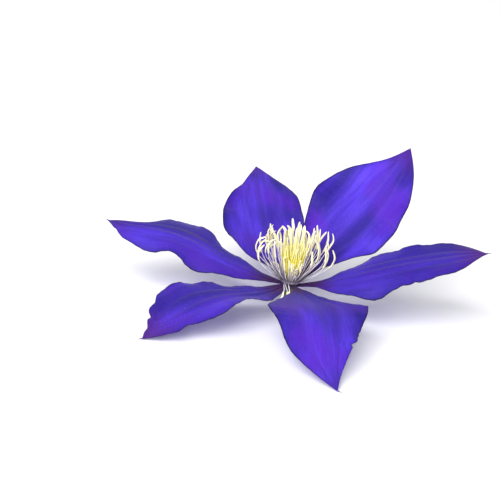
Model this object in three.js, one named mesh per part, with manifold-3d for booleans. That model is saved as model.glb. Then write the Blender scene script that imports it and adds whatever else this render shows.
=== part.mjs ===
// A large-flowered clematis bloom, picked with a short stub of its stalk and laid face up.
// Six blue-violet tepals spread from a small green receptacle. Round its dome stands a brush of
// creamy stamens, and in their middle a tuft of yellow styles.
// Millimetres and degrees, +Z up. Azimuth 0 is +X and turns towards +Y, which is the far side.
// The bloom rests on the tips of its two front tepals and on the cut end of the stub.

import * as THREE from "three";
import { mergeVertices } from "three/addons/utils/BufferGeometryUtils.js";
import Module from "manifold-3d";

const wasm = await Module();
wasm.setup();

// ---------------------------------------------------------------- driving dimensions

// The middle of the receptacle, above the surface and off the middle of the whole outline.
const BLOOM_CENTRE = { x: 0.34, y: -1.19, z: 10.06 };
const FLOOR = -BLOOM_CENTRE.z; // height of the surface, seen from the receptacle

const BLADE = {
  thickness: 0.7,
  rootRadius: 3.1, // from the middle of the receptacle to where a blade starts
  rows: 20, // steps along a blade
  halfColumns: 6, // steps from the midrib to an edge
  ribDepth: 0.3, // the three ribs are shallow channels in the upper face
  ribWidth: 0.09, // as a share of the half width
  ribsFrom: 6, // the half width from which the channels have their full depth
  sideRibs: 0.42, // where the side ribs run, as a share of the half width
  sideRibDepth: 0.7, // as a share of the midrib's depth
};

// Stations along a blade, as shares of its length.
const SHAPE_AT = [0, 0.2, 0.4, 0.6, 0.8, 1];
const WIDTH_AT = [0, 0.1, 0.2, 0.4, 0.6, 0.8, 0.92, 1];
const LEVEL = [0, 0, 0, 0, 0, 0];
const ALMOST_FLAT = 1e-4; // the least curl, in radians

// Each tepal seen from above with its tip away from the eye: left is the anticlockwise side.
// slope: climb of the midrib; heading: its turn from the azimuth; bank: roll of the blade;
// half: width from the midrib to an edge; curl: how far that edge has turned up;
// wave: height, count and shift of the ruffle along the edge.
const TEPALS = [
  {
    name: "tepal_right",
    azimuth: -2,
    length: 68.3,
    slope: [10, 24, 22, 17.5, 14.5, 7],
    heading: [0, 0, -0.2, 2.7, 3.2, 1.3],
    bank: LEVEL,
    left: {
      half: [1.2, 2.3, 4.6, 12.4, 10.9, 11.2, 7, 0],
      curl: [10, 0, 0, 20, 10, 0],
      wave: [0.45, 5, 0.12],
    },
    right: {
      half: [1.3, 2.6, 8.6, 13.7, 12.3, 12, 6.1, 0],
      curl: [-10, -40, -64, -30, -20, 0],
      wave: [0.8, 4, 0.24],
    },
  },
  {
    name: "tepal_back_right",
    azimuth: 47,
    length: 70.2,
    slope: [30, 38, 38, 41.5, 45.4, 51.4],
    heading: [0, 0, -2.2, -4.2, -4.1, -4.1],
    bank: [0, 18, 22, 20, 20, 20],
    left: {
      half: [1.3, 3.6, 7, 16.7, 19, 10.2, 3.4, 0],
      curl: [20, 10, 10, 10, 10, 0],
      wave: [0.9, 4, 0.29],
    },
    right: {
      half: [1.3, 3, 6, 15.5, 15.6, 10.8, 5, 0],
      curl: [20, 10, 10, 10, 10, 0],
      wave: [0.7, 6, 0.44],
    },
  },
  {
    name: "tepal_back",
    azimuth: 109,
    length: 70.8,
    slope: [14, 20, 24, 23, 18.4, 8.3],
    heading: [0, 0, -3, -6, -9, -10],
    bank: LEVEL,
    left: {
      half: [1.3, 5.1, 11.2, 17.7, 15.3, 6.5, 2.3, 0],
      curl: [20, 10, 10, 10, 10, 0],
      wave: [0.8, 5, 0.77],
    },
    right: {
      half: [1.3, 4, 8, 13.4, 16, 12.3, 4, 0],
      curl: [20, 10, 0, -10, -10, 0],
      wave: [0.55, 4, 0.38],
    },
  },
  {
    name: "tepal_left",
    azimuth: 172,
    length: 68.2,
    slope: [6, 17, 22.3, 10.6, -2.1, 0.9],
    heading: [0, 0.3, -0.5, -1, -1.2, -1],
    bank: LEVEL,
    left: {
      half: [1.3, 3.8, 6, 11.8, 11.7, 11, 6.1, 0],
      curl: [0, -30, -60, -40, -60, 0],
      wave: [0.8, 4, 0.95],
    },
    right: {
      half: [1.3, 3.8, 5, 10.8, 15.8, 8.4, 3.3, 0],
      curl: [0, 0, 0, 0, -14, 0],
      wave: [0.95, 4, 0.35],
    },
  },
  {
    name: "tepal_front_left",
    azimuth: 222,
    length: 63.2,
    slope: [-6, 2.7, 5, -11, -26.2, -27.1],
    heading: LEVEL,
    bank: [0, 0, 0, -4, -8, 0],
    left: {
      half: [1.3, 4.1, 8.8, 10, 11.4, 7.8, 4.8, 0],
      curl: [10, 6, 10, 6, 6, 0],
      wave: [0.9, 2, 0.44],
    },
    right: {
      half: [1.3, 3, 4.6, 10.2, 14.1, 10.8, 4.2, 0],
      curl: [0, 0, 0, 0, 0, 0],
      wave: [0.6, 5, 0.18],
    },
  },
  {
    name: "tepal_front",
    azimuth: 289,
    length: 67.2,
    slope: [8, 8, 4.6, -18.1, -28, -27.9],
    heading: [0, 0.5, -3, -6.8, -9.7, -9.8],
    bank: LEVEL,
    left: {
      half: [1.3, 2, 4, 16.4, 11.5, 4.8, 1.5, 0],
      curl: [20, 10, 0, 0, 0, 0],
      wave: [0.85, 3, 0.9],
    },
    right: {
      half: [1.3, 1.6, 7.8, 17.9, 16.4, 12.6, 6, 0],
      curl: [20, 10, 0, 0, 0, 0],
      wave: [0.9, 2, 0.28],
    },
  },
];

// The receptacle is the swollen top of the stalk, turned round the bloom's axis. Each profile of
// [radius, height] runs up its outer side.
const RECEPTACLE = [
  [0, -2.6],
  [1.4, -2.3],
  [2.4, -1.3],
  [2.75, -0.5],
  [2.5, 0.1],
  [1.6, 0.42],
  [0, 0.5],
];
const ROUND_SIDES = { receptacle: 20, stamenRing: 24, pistilDome: 16 };
const STALK = {
  radius: 1.1,
  sides: 12,
  steps: 16,
  lyingHeight: 1.1, // of the middle of the cut end above the surface
};
// The stub drops under the receptacle and bends back to lie on the surface.
const STALK_ROUTE = [
  [0, 0, -1.5],
  [-0.9, -0.2, -4.2],
  [0.2, 3.2, -7.2],
  [2.2, 8.5, FLOOR + 1.3],
  [4.5, 14.5, FLOOR + STALK.lyingHeight],
];

// The stamens stand on a low ring round the pistil, in whorls from the outside in.
// lean: from upright, at the root and at the tip.
const STAMEN_RING = [
  [1.95, 0.9],
  [3.2, 0.85],
  [3.6, 1.2],
  [3.4, 1.7],
  [2.6, 2],
  [1.95, 1.7],
];
const STAMEN_WHORLS = [
  { count: 30, radius: 3.0, rise: 1.3, length: 20.5, leanRoot: 62, leanTip: 24, shed: true },
  { count: 24, radius: 2.75, rise: 1.5, length: 20.5, leanRoot: 46, leanTip: 12, shed: false },
  { count: 17, radius: 2.4, rise: 1.6, length: 19, leanRoot: 22, leanTip: 2, shed: false },
];
const STAMEN = {
  radius: 0.36,
  antherRadius: 0.52,
  antherFrom: 0.62, // the anther starts at this share of the length
  tipRadius: 0.22,
  sides: 4,
  steps: 7,
  scatter: 0.2, // random change of length and lean, as a share
  wander: 14, // random turn of the azimuth along a stamen
  sway: 16, // swing from side to side along a stamen
  swings: 1.5, // how many swings a stamen has
  hook: 75, // the greatest random turn of a tip
  hookFrom: 0.52, // the turn starts at this share of the length
  hookPower: 1.5, // how late in the rest of the length the turn comes
  leastCurl: 0.4, // the least share of the full turn where stamens curl in
  spacingScatter: 0.4, // random shift of a root, as a share of the spacing
};
// The tepals climb at the back, so the stamens there stand steeper, clear of them.
const BACK = { azimuth: 60, spread: 85, steeper: 0.5 };
// At the front the outer stamens have dropped and the others are short, so that the styles show.
// They are shorter by this share where the nearness to the front is at least fullFrom.
const FRONT = { azimuth: 266, spread: 56, shorter: 0.5, fullFrom: 0.5 };
// The stamens on the left and on the right curl in over their tips.
const CURLED = [
  { azimuth: 180, spread: 52, turn: -190 },
  { azimuth: 350, spread: 50, turn: -100 },
];
// One spent stamen hangs down between the two front tepals.
const SPENT_STAMEN = [
  [-1.6, -2.6, 1.4],
  [-2.4, -4.6, 1.7],
  [-1.4, -6.2, 0],
  [-1.4, -7, -1.9],
  [-2.2, -7.8, -3.6],
];

// The pistil: a small dome with a tuft of styles that widens upwards.
const PISTIL_DOME = [
  [0, 1.0],
  [1.35, 0.95],
  [1.6, 1.6],
  [1.35, 2.6],
  [0.8, 3.3],
  [0, 3.5],
];
const STYLE = {
  count: 44,
  length: 16,
  lengthScatter: 0.24, // as a share of the length
  outerShorter: 0.12, // how much shorter the outermost styles are, as a share
  radius: 0.36,
  taper: 0.5,
  sides: 4,
  steps: 4,
  rootSpread: 1.2, // radius of the tuft at its root
  tipSpread: 6,
  opening: 0.65, // below 1 the tuft widens first and then rises
  rise: 2.2, // height of the roots, inside the dome
};
// The styles fill the inside of a goblet and the stamens stay outside it. Its radius is that at
// height 0, plus the growth times the height, less the slowing times the height squared.
const GOBLET = {
  radius: 1.6,
  growth: 0.36,
  slowing: 0.006,
  styleInside: 0.5,
  stamenOutside: 0.62,
};

const SEED = 20417;
const MERGE_WITHIN = 1e-4; // vertices this near each other are one

const FINISHES = {
  tepal: { color: 0x5a3fd0, roughness: 0.55, metalness: 0 },
  stamen: { color: 0xf1ecd6, roughness: 0.6, metalness: 0 },
  pistil: { color: 0xe9e06a, roughness: 0.6, metalness: 0 },
  stalk: { color: 0x7f9356, roughness: 0.6, metalness: 0 },
};

// ---------------------------------------------------------------- small helpers

const radians = THREE.MathUtils.degToRad;

function seededRandom(seed) {
  let state = seed >>> 0;
  return () => {
    state = (Math.imul(state, 1664525) + 1013904223) >>> 0;
    return state / 4294967296;
  };
}

// A smooth curve through values at stations, with slopes taken from the neighbours.
function smooth(at, values, t) {
  const last = at.length - 1;
  const tangent = (i) => {
    if (i === 0) return (values[1] - values[0]) / (at[1] - at[0]);
    if (i === last) return (values[last] - values[last - 1]) / (at[last] - at[last - 1]);
    const before = at[i] - at[i - 1];
    const after = at[i + 1] - at[i];
    const rise = (values[i + 1] - values[i]) / after;
    const climb = (values[i] - values[i - 1]) / before;
    return (before * rise + after * climb) / (before + after);
  };
  let i = 0;
  while (i < last - 1 && t >= at[i + 1]) i += 1;
  const span = at[i + 1] - at[i];
  const u = (t - at[i]) / span;
  const u2 = u * u;
  const u3 = u2 * u;
  return (
    (2 * u3 - 3 * u2 + 1) * values[i] +
    (u3 - 2 * u2 + u) * span * tangent(i) +
    (3 * u2 - 2 * u3) * values[i + 1] +
    (u3 - u2) * span * tangent(i + 1)
  );
}

function bump(x, width) {
  return Math.exp(-((x / width) ** 2));
}

// How near an azimuth is to a middle one: 1 there, 0 a spread away.
function nearness(azimuth, middle, spread) {
  const apart = Math.abs(THREE.MathUtils.euclideanModulo(azimuth - middle + 180, 360) - 180);
  return Math.max(0, 1 - apart / spread);
}

// ---------------------------------------------------------------- tepals

// Rows of frames along the midrib, in the tepal's own frame: the root is the origin, +X its azimuth.
function midribFrames(tepal) {
  const substeps = 40;
  const frames = [];
  const point = new THREE.Vector3();
  const directionAt = (t) => {
    const climb = radians(smooth(SHAPE_AT, tepal.slope, t));
    const turn = radians(smooth(SHAPE_AT, tepal.heading, t));
    return new THREE.Vector3(
      Math.cos(climb) * Math.cos(turn),
      Math.cos(climb) * Math.sin(turn),
      Math.sin(climb),
    );
  };
  for (let row = 0; row <= BLADE.rows; row += 1) {
    const t = row / BLADE.rows;
    const along = directionAt(t);
    const across = new THREE.Vector3(-along.y, along.x, 0).normalize();
    across.applyAxisAngle(along, radians(smooth(SHAPE_AT, tepal.bank, t)));
    const up = new THREE.Vector3().crossVectors(along, across);
    frames.push({ t, point: point.clone(), across, up });
    for (let k = 0; k < substeps; k += 1) {
      const step = tepal.length / BLADE.rows / substeps;
      point.addScaledVector(directionAt(t + (k + 0.5) / substeps / BLADE.rows), step);
    }
  }
  return frames;
}

// The middle of the blade's thickness and its normal, at a share s of the half width: left is +.
function bladePoint(tepal, frame, s) {
  const side = s >= 0 ? tepal.left : tepal.right;
  const sign = s >= 0 ? 1 : -1;
  const share = Math.abs(s);
  const half = Math.max(smooth(WIDTH_AT, side.half, frame.t), 0);
  const turned = radians(smooth(SHAPE_AT, side.curl, frame.t));
  const curl = Math.abs(turned) < ALMOST_FLAT ? ALMOST_FLAT : turned;
  const [height, count, shift] = side.wave;
  const envelope = Math.sin(Math.PI * frame.t) * share ** 3;
  const ruffle = height * envelope * Math.sin(2 * Math.PI * (count * frame.t + shift));
  const sideRib = BLADE.sideRibDepth * bump(share - BLADE.sideRibs, BLADE.ribWidth);
  const ribs = bump(share, BLADE.ribWidth) + sideRib;
  const channel = BLADE.ribDepth * ribs * Math.min(half / BLADE.ribsFrom, 1);
  const aside = (sign * half * Math.sin(curl * share)) / curl;
  const lift = (half * (1 - Math.cos(curl * share))) / curl + ruffle - channel;
  const point = frame.point
    .clone()
    .addScaledVector(frame.across, aside)
    .addScaledVector(frame.up, lift);
  const normal = frame.up
    .clone()
    .multiplyScalar(Math.cos(curl * share))
    .addScaledVector(frame.across, -sign * Math.sin(curl * share));
  return { point, normal };
}

// A closed blade: an upper and a lower face split alike, walls round the edge and one point as tip.
function tepalGeometry(tepal) {
  const columns = 2 * BLADE.halfColumns + 1;
  const frames = midribFrames(tepal);
  const vertices = [];
  const triangles = [];
  const addPair = ({ point, normal }) => {
    for (const sign of [1, -1]) {
      const vertex = point.clone().addScaledVector(normal, (sign * BLADE.thickness) / 2);
      vertices.push(vertex.x, vertex.y, vertex.z);
    }
  };
  for (const frame of frames.slice(0, -1)) {
    for (let j = 0; j < columns; j += 1) {
      addPair(bladePoint(tepal, frame, 1 - j / BLADE.halfColumns));
    }
  }
  const tipFrame = frames[frames.length - 1];
  addPair({ point: tipFrame.point, normal: tipFrame.up });
  const tip = BLADE.rows * columns;
  const index = (row, column) => (row === BLADE.rows ? tip : row * columns + column);
  const faceBoth = (a, b, c) => {
    triangles.push(2 * a, 2 * b, 2 * c);
    triangles.push(2 * a + 1, 2 * c + 1, 2 * b + 1);
  };
  const wall = (a, b) => {
    triangles.push(2 * a, 2 * b, 2 * a + 1);
    triangles.push(2 * b, 2 * b + 1, 2 * a + 1);
  };
  for (let row = 0; row < BLADE.rows; row += 1) {
    for (let j = 0; j < columns - 1; j += 1) {
      faceBoth(index(row, j), index(row, j + 1), index(row + 1, j));
      if (row < BLADE.rows - 1) {
        faceBoth(index(row, j + 1), index(row + 1, j + 1), index(row + 1, j));
      }
    }
    wall(index(row, 0), index(row + 1, 0));
    wall(index(row + 1, columns - 1), index(row, columns - 1));
  }
  for (let j = 0; j < columns - 1; j += 1) wall(index(0, j + 1), index(0, j));
  const geometry = new THREE.BufferGeometry();
  geometry.setAttribute("position", new THREE.Float32BufferAttribute(vertices, 3));
  geometry.setIndex(triangles);
  geometry.computeVertexNormals();
  return geometry;
}

// ---------------------------------------------------------------- rods, domes and joins

// A tapered rod along a list of points, closed at both ends.
function rodGeometry(points, radiusAt, sides) {
  const vertices = [];
  const triangles = [];
  const last = points.length - 1;
  let across = new THREE.Vector3(0, 1, 0);
  points.forEach((point, i) => {
    const along = points[Math.min(i + 1, last)].clone().sub(points[Math.max(i - 1, 0)]).normalize();
    across = across.clone().addScaledVector(along, -across.dot(along)).normalize();
    const third = new THREE.Vector3().crossVectors(along, across);
    const radius = radiusAt(i / last);
    for (let k = 0; k < sides; k += 1) {
      const angle = (2 * Math.PI * k) / sides;
      const vertex = point
        .clone()
        .addScaledVector(across, radius * Math.cos(angle))
        .addScaledVector(third, radius * Math.sin(angle));
      vertices.push(vertex.x, vertex.y, vertex.z);
    }
  });
  for (let i = 0; i < last; i += 1) {
    for (let k = 0; k < sides; k += 1) {
      const a = i * sides + k;
      const b = i * sides + ((k + 1) % sides);
      triangles.push(a, b, a + sides, b, b + sides, a + sides);
    }
  }
  for (let k = 1; k < sides - 1; k += 1) {
    triangles.push(0, k + 1, k);
    triangles.push(last * sides, last * sides + k, last * sides + k + 1);
  }
  const geometry = new THREE.BufferGeometry();
  geometry.setAttribute("position", new THREE.Float32BufferAttribute(vertices, 3));
  geometry.setIndex(triangles);
  return geometry;
}

// A profile of [radius, height] turned round the bloom's axis.
function turnedGeometry(profile, segments, closed) {
  const outline = profile.map(([radius, height]) => new THREE.Vector2(radius, height));
  if (closed) outline.push(outline[0].clone());
  const geometry = new THREE.LatheGeometry(outline, segments);
  geometry.rotateX(Math.PI / 2);
  return geometry;
}

function solidOf(geometry) {
  const bare = geometry.clone();
  bare.deleteAttribute("normal");
  bare.deleteAttribute("uv");
  const merged = mergeVertices(bare, MERGE_WITHIN);
  return new wasm.Manifold(
    new wasm.Mesh({
      numProp: 3,
      vertProperties: merged.attributes.position.array,
      triVerts: new Uint32Array(merged.index.array),
    }),
  );
}

function joined(geometries) {
  const whole = geometries.map(solidOf).reduce((sum, solid) => sum.add(solid));
  const mesh = whole.getMesh();
  const geometry = new THREE.BufferGeometry();
  geometry.setAttribute("position", new THREE.BufferAttribute(mesh.vertProperties, 3));
  geometry.setIndex(new THREE.BufferAttribute(mesh.triVerts, 1));
  geometry.computeVertexNormals();
  return geometry;
}

// ---------------------------------------------------------------- stalk, stamens and pistil

function vectors(list) {
  return list.map(([x, y, z]) => new THREE.Vector3(x, y, z));
}

function stalkGeometry() {
  const route = new THREE.CatmullRomCurve3(vectors(STALK_ROUTE)).getPoints(STALK.steps);
  return joined([
    turnedGeometry(RECEPTACLE, ROUND_SIDES.receptacle, false),
    rodGeometry(route, () => STALK.radius, STALK.sides),
  ]);
}

function gobletRadius(height) {
  return GOBLET.radius + GOBLET.growth * height - GOBLET.slowing * height ** 2;
}

// Keeps a stamen's point outside the goblet.
function outsideGoblet(point) {
  const least = gobletRadius(point.z) + GOBLET.stamenOutside;
  const radius = Math.hypot(point.x, point.y);
  if (radius < least) {
    point.x *= least / radius;
    point.y *= least / radius;
  }
  return point;
}

function frontNearness(azimuth) {
  return nearness(azimuth, FRONT.azimuth, FRONT.spread);
}

// The path of a stamen: it leaves the ring leaning out, bends upright and ends in a hook.
function stamenPath(whorl, azimuth, random) {
  const fullLength = whorl.length * (1 + STAMEN.scatter * (random() - 0.5));
  const leanChange = 1 + STAMEN.scatter * (random() - 0.5);
  const steeper = 1 - BACK.steeper * nearness(azimuth, BACK.azimuth, BACK.spread);
  const short = Math.min(frontNearness(azimuth) / FRONT.fullFrom, 1);
  const length = fullLength * (1 - FRONT.shorter * short);
  let inward = 0;
  let fullCurl = 0;
  for (const sector of CURLED) {
    const near = nearness(azimuth, sector.azimuth, sector.spread);
    inward += near;
    fullCurl += sector.turn * near;
  }
  const curl = fullCurl * THREE.MathUtils.lerp(STAMEN.leastCurl, 1, random());
  const hook = curl + STAMEN.hook * (1 - inward) * (2 * random() - 1);
  const wander = STAMEN.wander * (2 * random() - 1);
  const swayStarts = random();
  const start = radians(azimuth);
  const radius = whorl.radius;
  const point = new THREE.Vector3(radius * Math.cos(start), radius * Math.sin(start), whorl.rise);
  const points = [point.clone()];
  const stepLength = length / STAMEN.steps;
  for (let i = 0; i < STAMEN.steps; i += 1) {
    const t = (i + 0.5) / STAMEN.steps;
    const upright = THREE.MathUtils.lerp(whorl.leanRoot, whorl.leanTip, t);
    const hooked = Math.max(0, (t - STAMEN.hookFrom) / (1 - STAMEN.hookFrom)) ** STAMEN.hookPower;
    const swing = STAMEN.sway * t * Math.sin(2 * Math.PI * (STAMEN.swings * t + swayStarts));
    const leanNow = radians(upright * leanChange * steeper + hook * hooked + swing);
    const turnNow = radians(azimuth + wander * t + swing);
    point.x += stepLength * Math.sin(leanNow) * Math.cos(turnNow);
    point.y += stepLength * Math.sin(leanNow) * Math.sin(turnNow);
    point.z += stepLength * Math.cos(leanNow);
    points.push(outsideGoblet(point.clone()));
  }
  return points;
}

function stamenRadius(t) {
  if (t < STAMEN.antherFrom) return STAMEN.radius;
  return t < 1 ? STAMEN.antherRadius : STAMEN.tipRadius;
}

function stamensGeometry() {
  const random = seededRandom(SEED);
  const pieces = [turnedGeometry(STAMEN_RING, ROUND_SIDES.stamenRing, true)];
  STAMEN_WHORLS.forEach((whorl, ring) => {
    const stagger = 0.5 * (ring % 2);
    for (let i = 0; i < whorl.count; i += 1) {
      const shift = stagger + STAMEN.spacingScatter * (random() - 0.5);
      const azimuth = (360 * (i + shift)) / whorl.count;
      const path = stamenPath(whorl, azimuth, random);
      const dropped = whorl.shed && frontNearness(azimuth) > 0;
      if (!dropped) pieces.push(rodGeometry(path, stamenRadius, STAMEN.sides));
    }
  });
  pieces.push(rodGeometry(vectors(SPENT_STAMEN), () => STAMEN.radius, STAMEN.sides));
  return joined(pieces);
}

// Styles fill the tuft evenly, like seeds in a head, and stay inside the goblet.
function pistilGeometry() {
  const random = seededRandom(SEED + 1);
  const pieces = [turnedGeometry(PISTIL_DOME, ROUND_SIDES.pistilDome, false)];
  const goldenAngle = 180 * (3 - Math.sqrt(5));
  for (let i = 0; i < STYLE.count; i += 1) {
    const share = Math.sqrt((i + 0.5) / STYLE.count);
    const azimuth = radians(goldenAngle * i);
    const shorter = STYLE.lengthScatter * random() + STYLE.outerShorter * share;
    const length = STYLE.length * (1 - shorter);
    const points = [];
    for (let k = 0; k <= STYLE.steps; k += 1) {
      const t = k / STYLE.steps;
      const height = STYLE.rise + length * t;
      const limit = gobletRadius(height) - GOBLET.styleInside;
      const spread = THREE.MathUtils.lerp(STYLE.rootSpread, STYLE.tipSpread, t ** STYLE.opening);
      const radius = Math.min(share * spread, limit);
      points.push(new THREE.Vector3(radius * Math.cos(azimuth), radius * Math.sin(azimuth), height));
    }
    const radiusAt = (t) => STYLE.radius * (1 - STYLE.taper * t);
    pieces.push(rodGeometry(points, radiusAt, STYLE.sides));
  }
  return joined(pieces);
}

// ---------------------------------------------------------------- the bloom

function meshOf(name, geometry, finish) {
  const mesh = new THREE.Mesh(geometry, new THREE.MeshStandardMaterial(finish));
  mesh.name = name;
  return mesh;
}

const bloom = new THREE.Group();
bloom.position.set(BLOOM_CENTRE.x, BLOOM_CENTRE.y, BLOOM_CENTRE.z);

for (const tepal of TEPALS) {
  const mesh = meshOf(tepal.name, tepalGeometry(tepal), FINISHES.tepal);
  const azimuth = radians(tepal.azimuth);
  mesh.position.set(BLADE.rootRadius * Math.cos(azimuth), BLADE.rootRadius * Math.sin(azimuth), 0);
  mesh.rotation.z = azimuth;
  bloom.add(mesh);
}
bloom.add(meshOf("stalk", stalkGeometry(), FINISHES.stalk));
bloom.add(meshOf("stamens", stamensGeometry(), FINISHES.stamen));
bloom.add(meshOf("pistil", pistilGeometry(), FINISHES.pistil));

const part = new THREE.Group();
part.add(bloom);

export default part;
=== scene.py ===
"""A clematis bloom, picked with a short stub of its stalk and laid face up.

Six blue-violet tepals spread from a small green receptacle. A brush of creamy stamens stands
round a tuft of yellow styles. Lengths are in metres in the studio and where they are multiplied
by MM; the others are in millimetres, with places counted from the middle of the receptacle.
Angles are in degrees, with +Z up; azimuth 0 is +X and turns towards +Y, the far side.
"""

import logging
import math
from collections.abc import Callable, Iterable, Sequence
from dataclasses import dataclass, replace
from enum import Enum

import bpy
import numpy as np
from mathutils import Matrix, Vector


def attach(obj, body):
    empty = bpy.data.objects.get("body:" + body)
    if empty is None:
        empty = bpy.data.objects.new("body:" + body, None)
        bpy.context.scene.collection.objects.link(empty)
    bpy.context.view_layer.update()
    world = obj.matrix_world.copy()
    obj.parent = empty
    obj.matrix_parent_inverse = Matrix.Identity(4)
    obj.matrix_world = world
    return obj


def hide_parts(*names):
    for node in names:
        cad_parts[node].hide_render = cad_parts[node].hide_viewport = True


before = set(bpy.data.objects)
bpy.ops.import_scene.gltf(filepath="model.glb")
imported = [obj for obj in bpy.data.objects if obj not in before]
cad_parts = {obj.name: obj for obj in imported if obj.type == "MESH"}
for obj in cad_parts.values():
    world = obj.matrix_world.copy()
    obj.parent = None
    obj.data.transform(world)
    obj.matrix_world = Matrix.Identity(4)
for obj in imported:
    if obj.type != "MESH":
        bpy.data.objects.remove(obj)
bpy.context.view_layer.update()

LOG = logging.getLogger("clematis")
MM = 0.001
BODY = "root"

# The middle of the receptacle, above the surface and off the middle of the whole outline.
BLOOM_CENTRE = np.array([0.34, -1.19, 10.06]) * MM
ROOT_RADIUS = 3.1 * MM  # where the tepals start, from the bloom's axis

Colour = tuple[float, float, float, float]
Values = Sequence[float]


class Slot(Enum):
    """The material slots."""

    TEPAL = "tepal"
    STALK = "stalk"
    STAMEN = "stamen"
    PISTIL = "pistil"


# ---------------------------------------------------------------- small helpers

# The curve from screen values to linear light: straight up to its knee, a power above it.
SCREEN_WHITE = 255
SCREEN_KNEE = 0.04045
SCREEN_SLOPE = 12.92
SCREEN_OFFSET = 0.055
SCREEN_POWER = 2.4

# A simple generator of random numbers, the same on every machine.
RANDOM_FACTOR = 1664525
RANDOM_STEP = 1013904223
RANDOM_RANGE = 2**32

LEAST_LENGTH = 1e-12  # keeps a vector without a length from being divided by zero


def srgb(red: int, green: int, blue: int) -> Colour:
    """A colour from its 0 to 255 screen values, as the linear values that shaders take.

    Args:
        red: Screen value of red.
        green: Screen value of green.
        blue: Screen value of blue.

    Returns:
        Linear red, green and blue, with an alpha of 1.
    """
    shares = np.array([red, green, blue]) / SCREEN_WHITE
    curved = ((shares + SCREEN_OFFSET) / (1 + SCREEN_OFFSET)) ** SCREEN_POWER
    linear = np.where(shares <= SCREEN_KNEE, shares / SCREEN_SLOPE, curved)
    return (*linear.tolist(), 1.0)


def smooth(at: Values, values: Values, t: np.ndarray) -> np.ndarray:
    """A smooth curve through values at stations, with slopes taken from the neighbours.

    Args:
        at: The stations, rising.
        values: One value for each station.
        t: Where to read the curve.

    Returns:
        The curve's values at t.
    """
    stations = np.asarray(at, float)
    known = np.asarray(values, float)
    slopes = np.gradient(known, stations)
    i = np.clip(np.searchsorted(stations, t, side="right") - 1, 0, len(stations) - 2)
    span = stations[i + 1] - stations[i]
    u = (t - stations[i]) / span
    return (
        (2 * u**3 - 3 * u**2 + 1) * known[i]
        + (u**3 - 2 * u**2 + u) * span * slopes[i]
        + (3 * u**2 - 2 * u**3) * known[i + 1]
        + (u**3 - u**2) * span * slopes[i + 1]
    )


def even(values: Values) -> np.ndarray:
    """Stations from 0 to 1 at even steps, one for each value."""
    return np.linspace(0, 1, len(values))


def bump(x: np.ndarray, width: float) -> np.ndarray:
    """A soft bump of height 1 round x = 0."""
    return np.exp(-((x / width) ** 2))


def unit(vectors: np.ndarray) -> np.ndarray:
    """Vectors scaled to length 1."""
    return vectors / np.maximum(np.linalg.norm(vectors, axis=-1, keepdims=True), LEAST_LENGTH)


def turn_steps(count: int) -> np.ndarray:
    """Angles at even steps once round a circle."""
    return np.linspace(0, 2 * math.pi, count, endpoint=False)


def circle(angles: np.ndarray, across: np.ndarray, third: np.ndarray) -> np.ndarray:
    """Points at angles on the circle of radius 1 in the plane of two directions."""
    return np.outer(np.cos(angles), across) + np.outer(np.sin(angles), third)


def spread_on(axes: np.ndarray, amounts: np.ndarray) -> np.ndarray:
    """Vectors of the given amounts, each row of them along its own axis."""
    return amounts[..., None] * axes[:, None]


def path_length(path: np.ndarray) -> float:
    """The length of a path through points."""
    return float(np.linalg.norm(np.diff(path, axis=0), axis=1).sum())


def seeded_random(seed: int) -> Callable[[], float]:
    """A stream of even random numbers from 0 to 1 that is the same on every run.

    Args:
        seed: A whole number that picks the stream.

    Returns:
        A function that gives the next number.
    """
    state = seed

    def draw() -> float:
        """Steps the stream on.

        Returns:
            Its next number.
        """
        nonlocal state
        state = (state * RANDOM_FACTOR + RANDOM_STEP) % RANDOM_RANGE
        return state / RANDOM_RANGE

    return draw


def mesh_object(name: str, points: np.ndarray, faces: list[tuple[int, ...]]) -> bpy.types.Object:
    """A smooth mesh object at the origin.

    Args:
        name: The object's name.
        points: Its vertices, in metres.
        faces: Vertex indices of each face, anticlockwise from outside.

    Returns:
        The linked object.
    """
    mesh = bpy.data.meshes.new(name)
    mesh.from_pydata(points.tolist(), [], faces)
    mesh.polygons.foreach_set("use_smooth", np.ones(len(mesh.polygons), bool))
    mesh.update()
    made = bpy.data.objects.new(name, mesh)
    bpy.context.scene.collection.objects.link(made)
    return made


def keep_vectors(mesh: bpy.types.Mesh, name: str, vectors: np.ndarray) -> None:
    """Stores one vector for each vertex of a mesh as a named attribute."""
    attribute = mesh.attributes.new(name, "FLOAT_VECTOR", "POINT")
    attribute.data.foreach_set("vector", vectors.astype(np.float32).ravel())


def tube_faces(rings: int, sides: int) -> list[tuple[int, ...]]:
    """Faces of a tube whose rings of vertices follow one another, open at both ends.

    Args:
        rings: How many rings there are.
        sides: How many vertices each ring has.

    Returns:
        The faces, facing out where each ring turns anticlockwise seen from the tube's end.
    """
    faces: list[tuple[int, ...]] = []
    for ring in range(rings - 1):
        for k in range(sides):
            a = ring * sides + k
            b = ring * sides + (k + 1) % sides
            faces.append((a, b, b + sides, a + sides))
    return faces


def present(piece: bpy.types.Object, slot: Slot, *nodes: str) -> None:
    """Makes a finished piece part of the object and reports it.

    Args:
        piece: The piece, in place.
        slot: The material slot of the piece; not used.
        nodes: The nodes that it stands for.
    """
    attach(piece, BODY)
    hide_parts(*nodes)
    LOG.info("%s: %d faces, stands for %s", piece.name, len(piece.data.polygons), ", ".join(nodes))


# ---------------------------------------------------------------- node graphs


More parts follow.
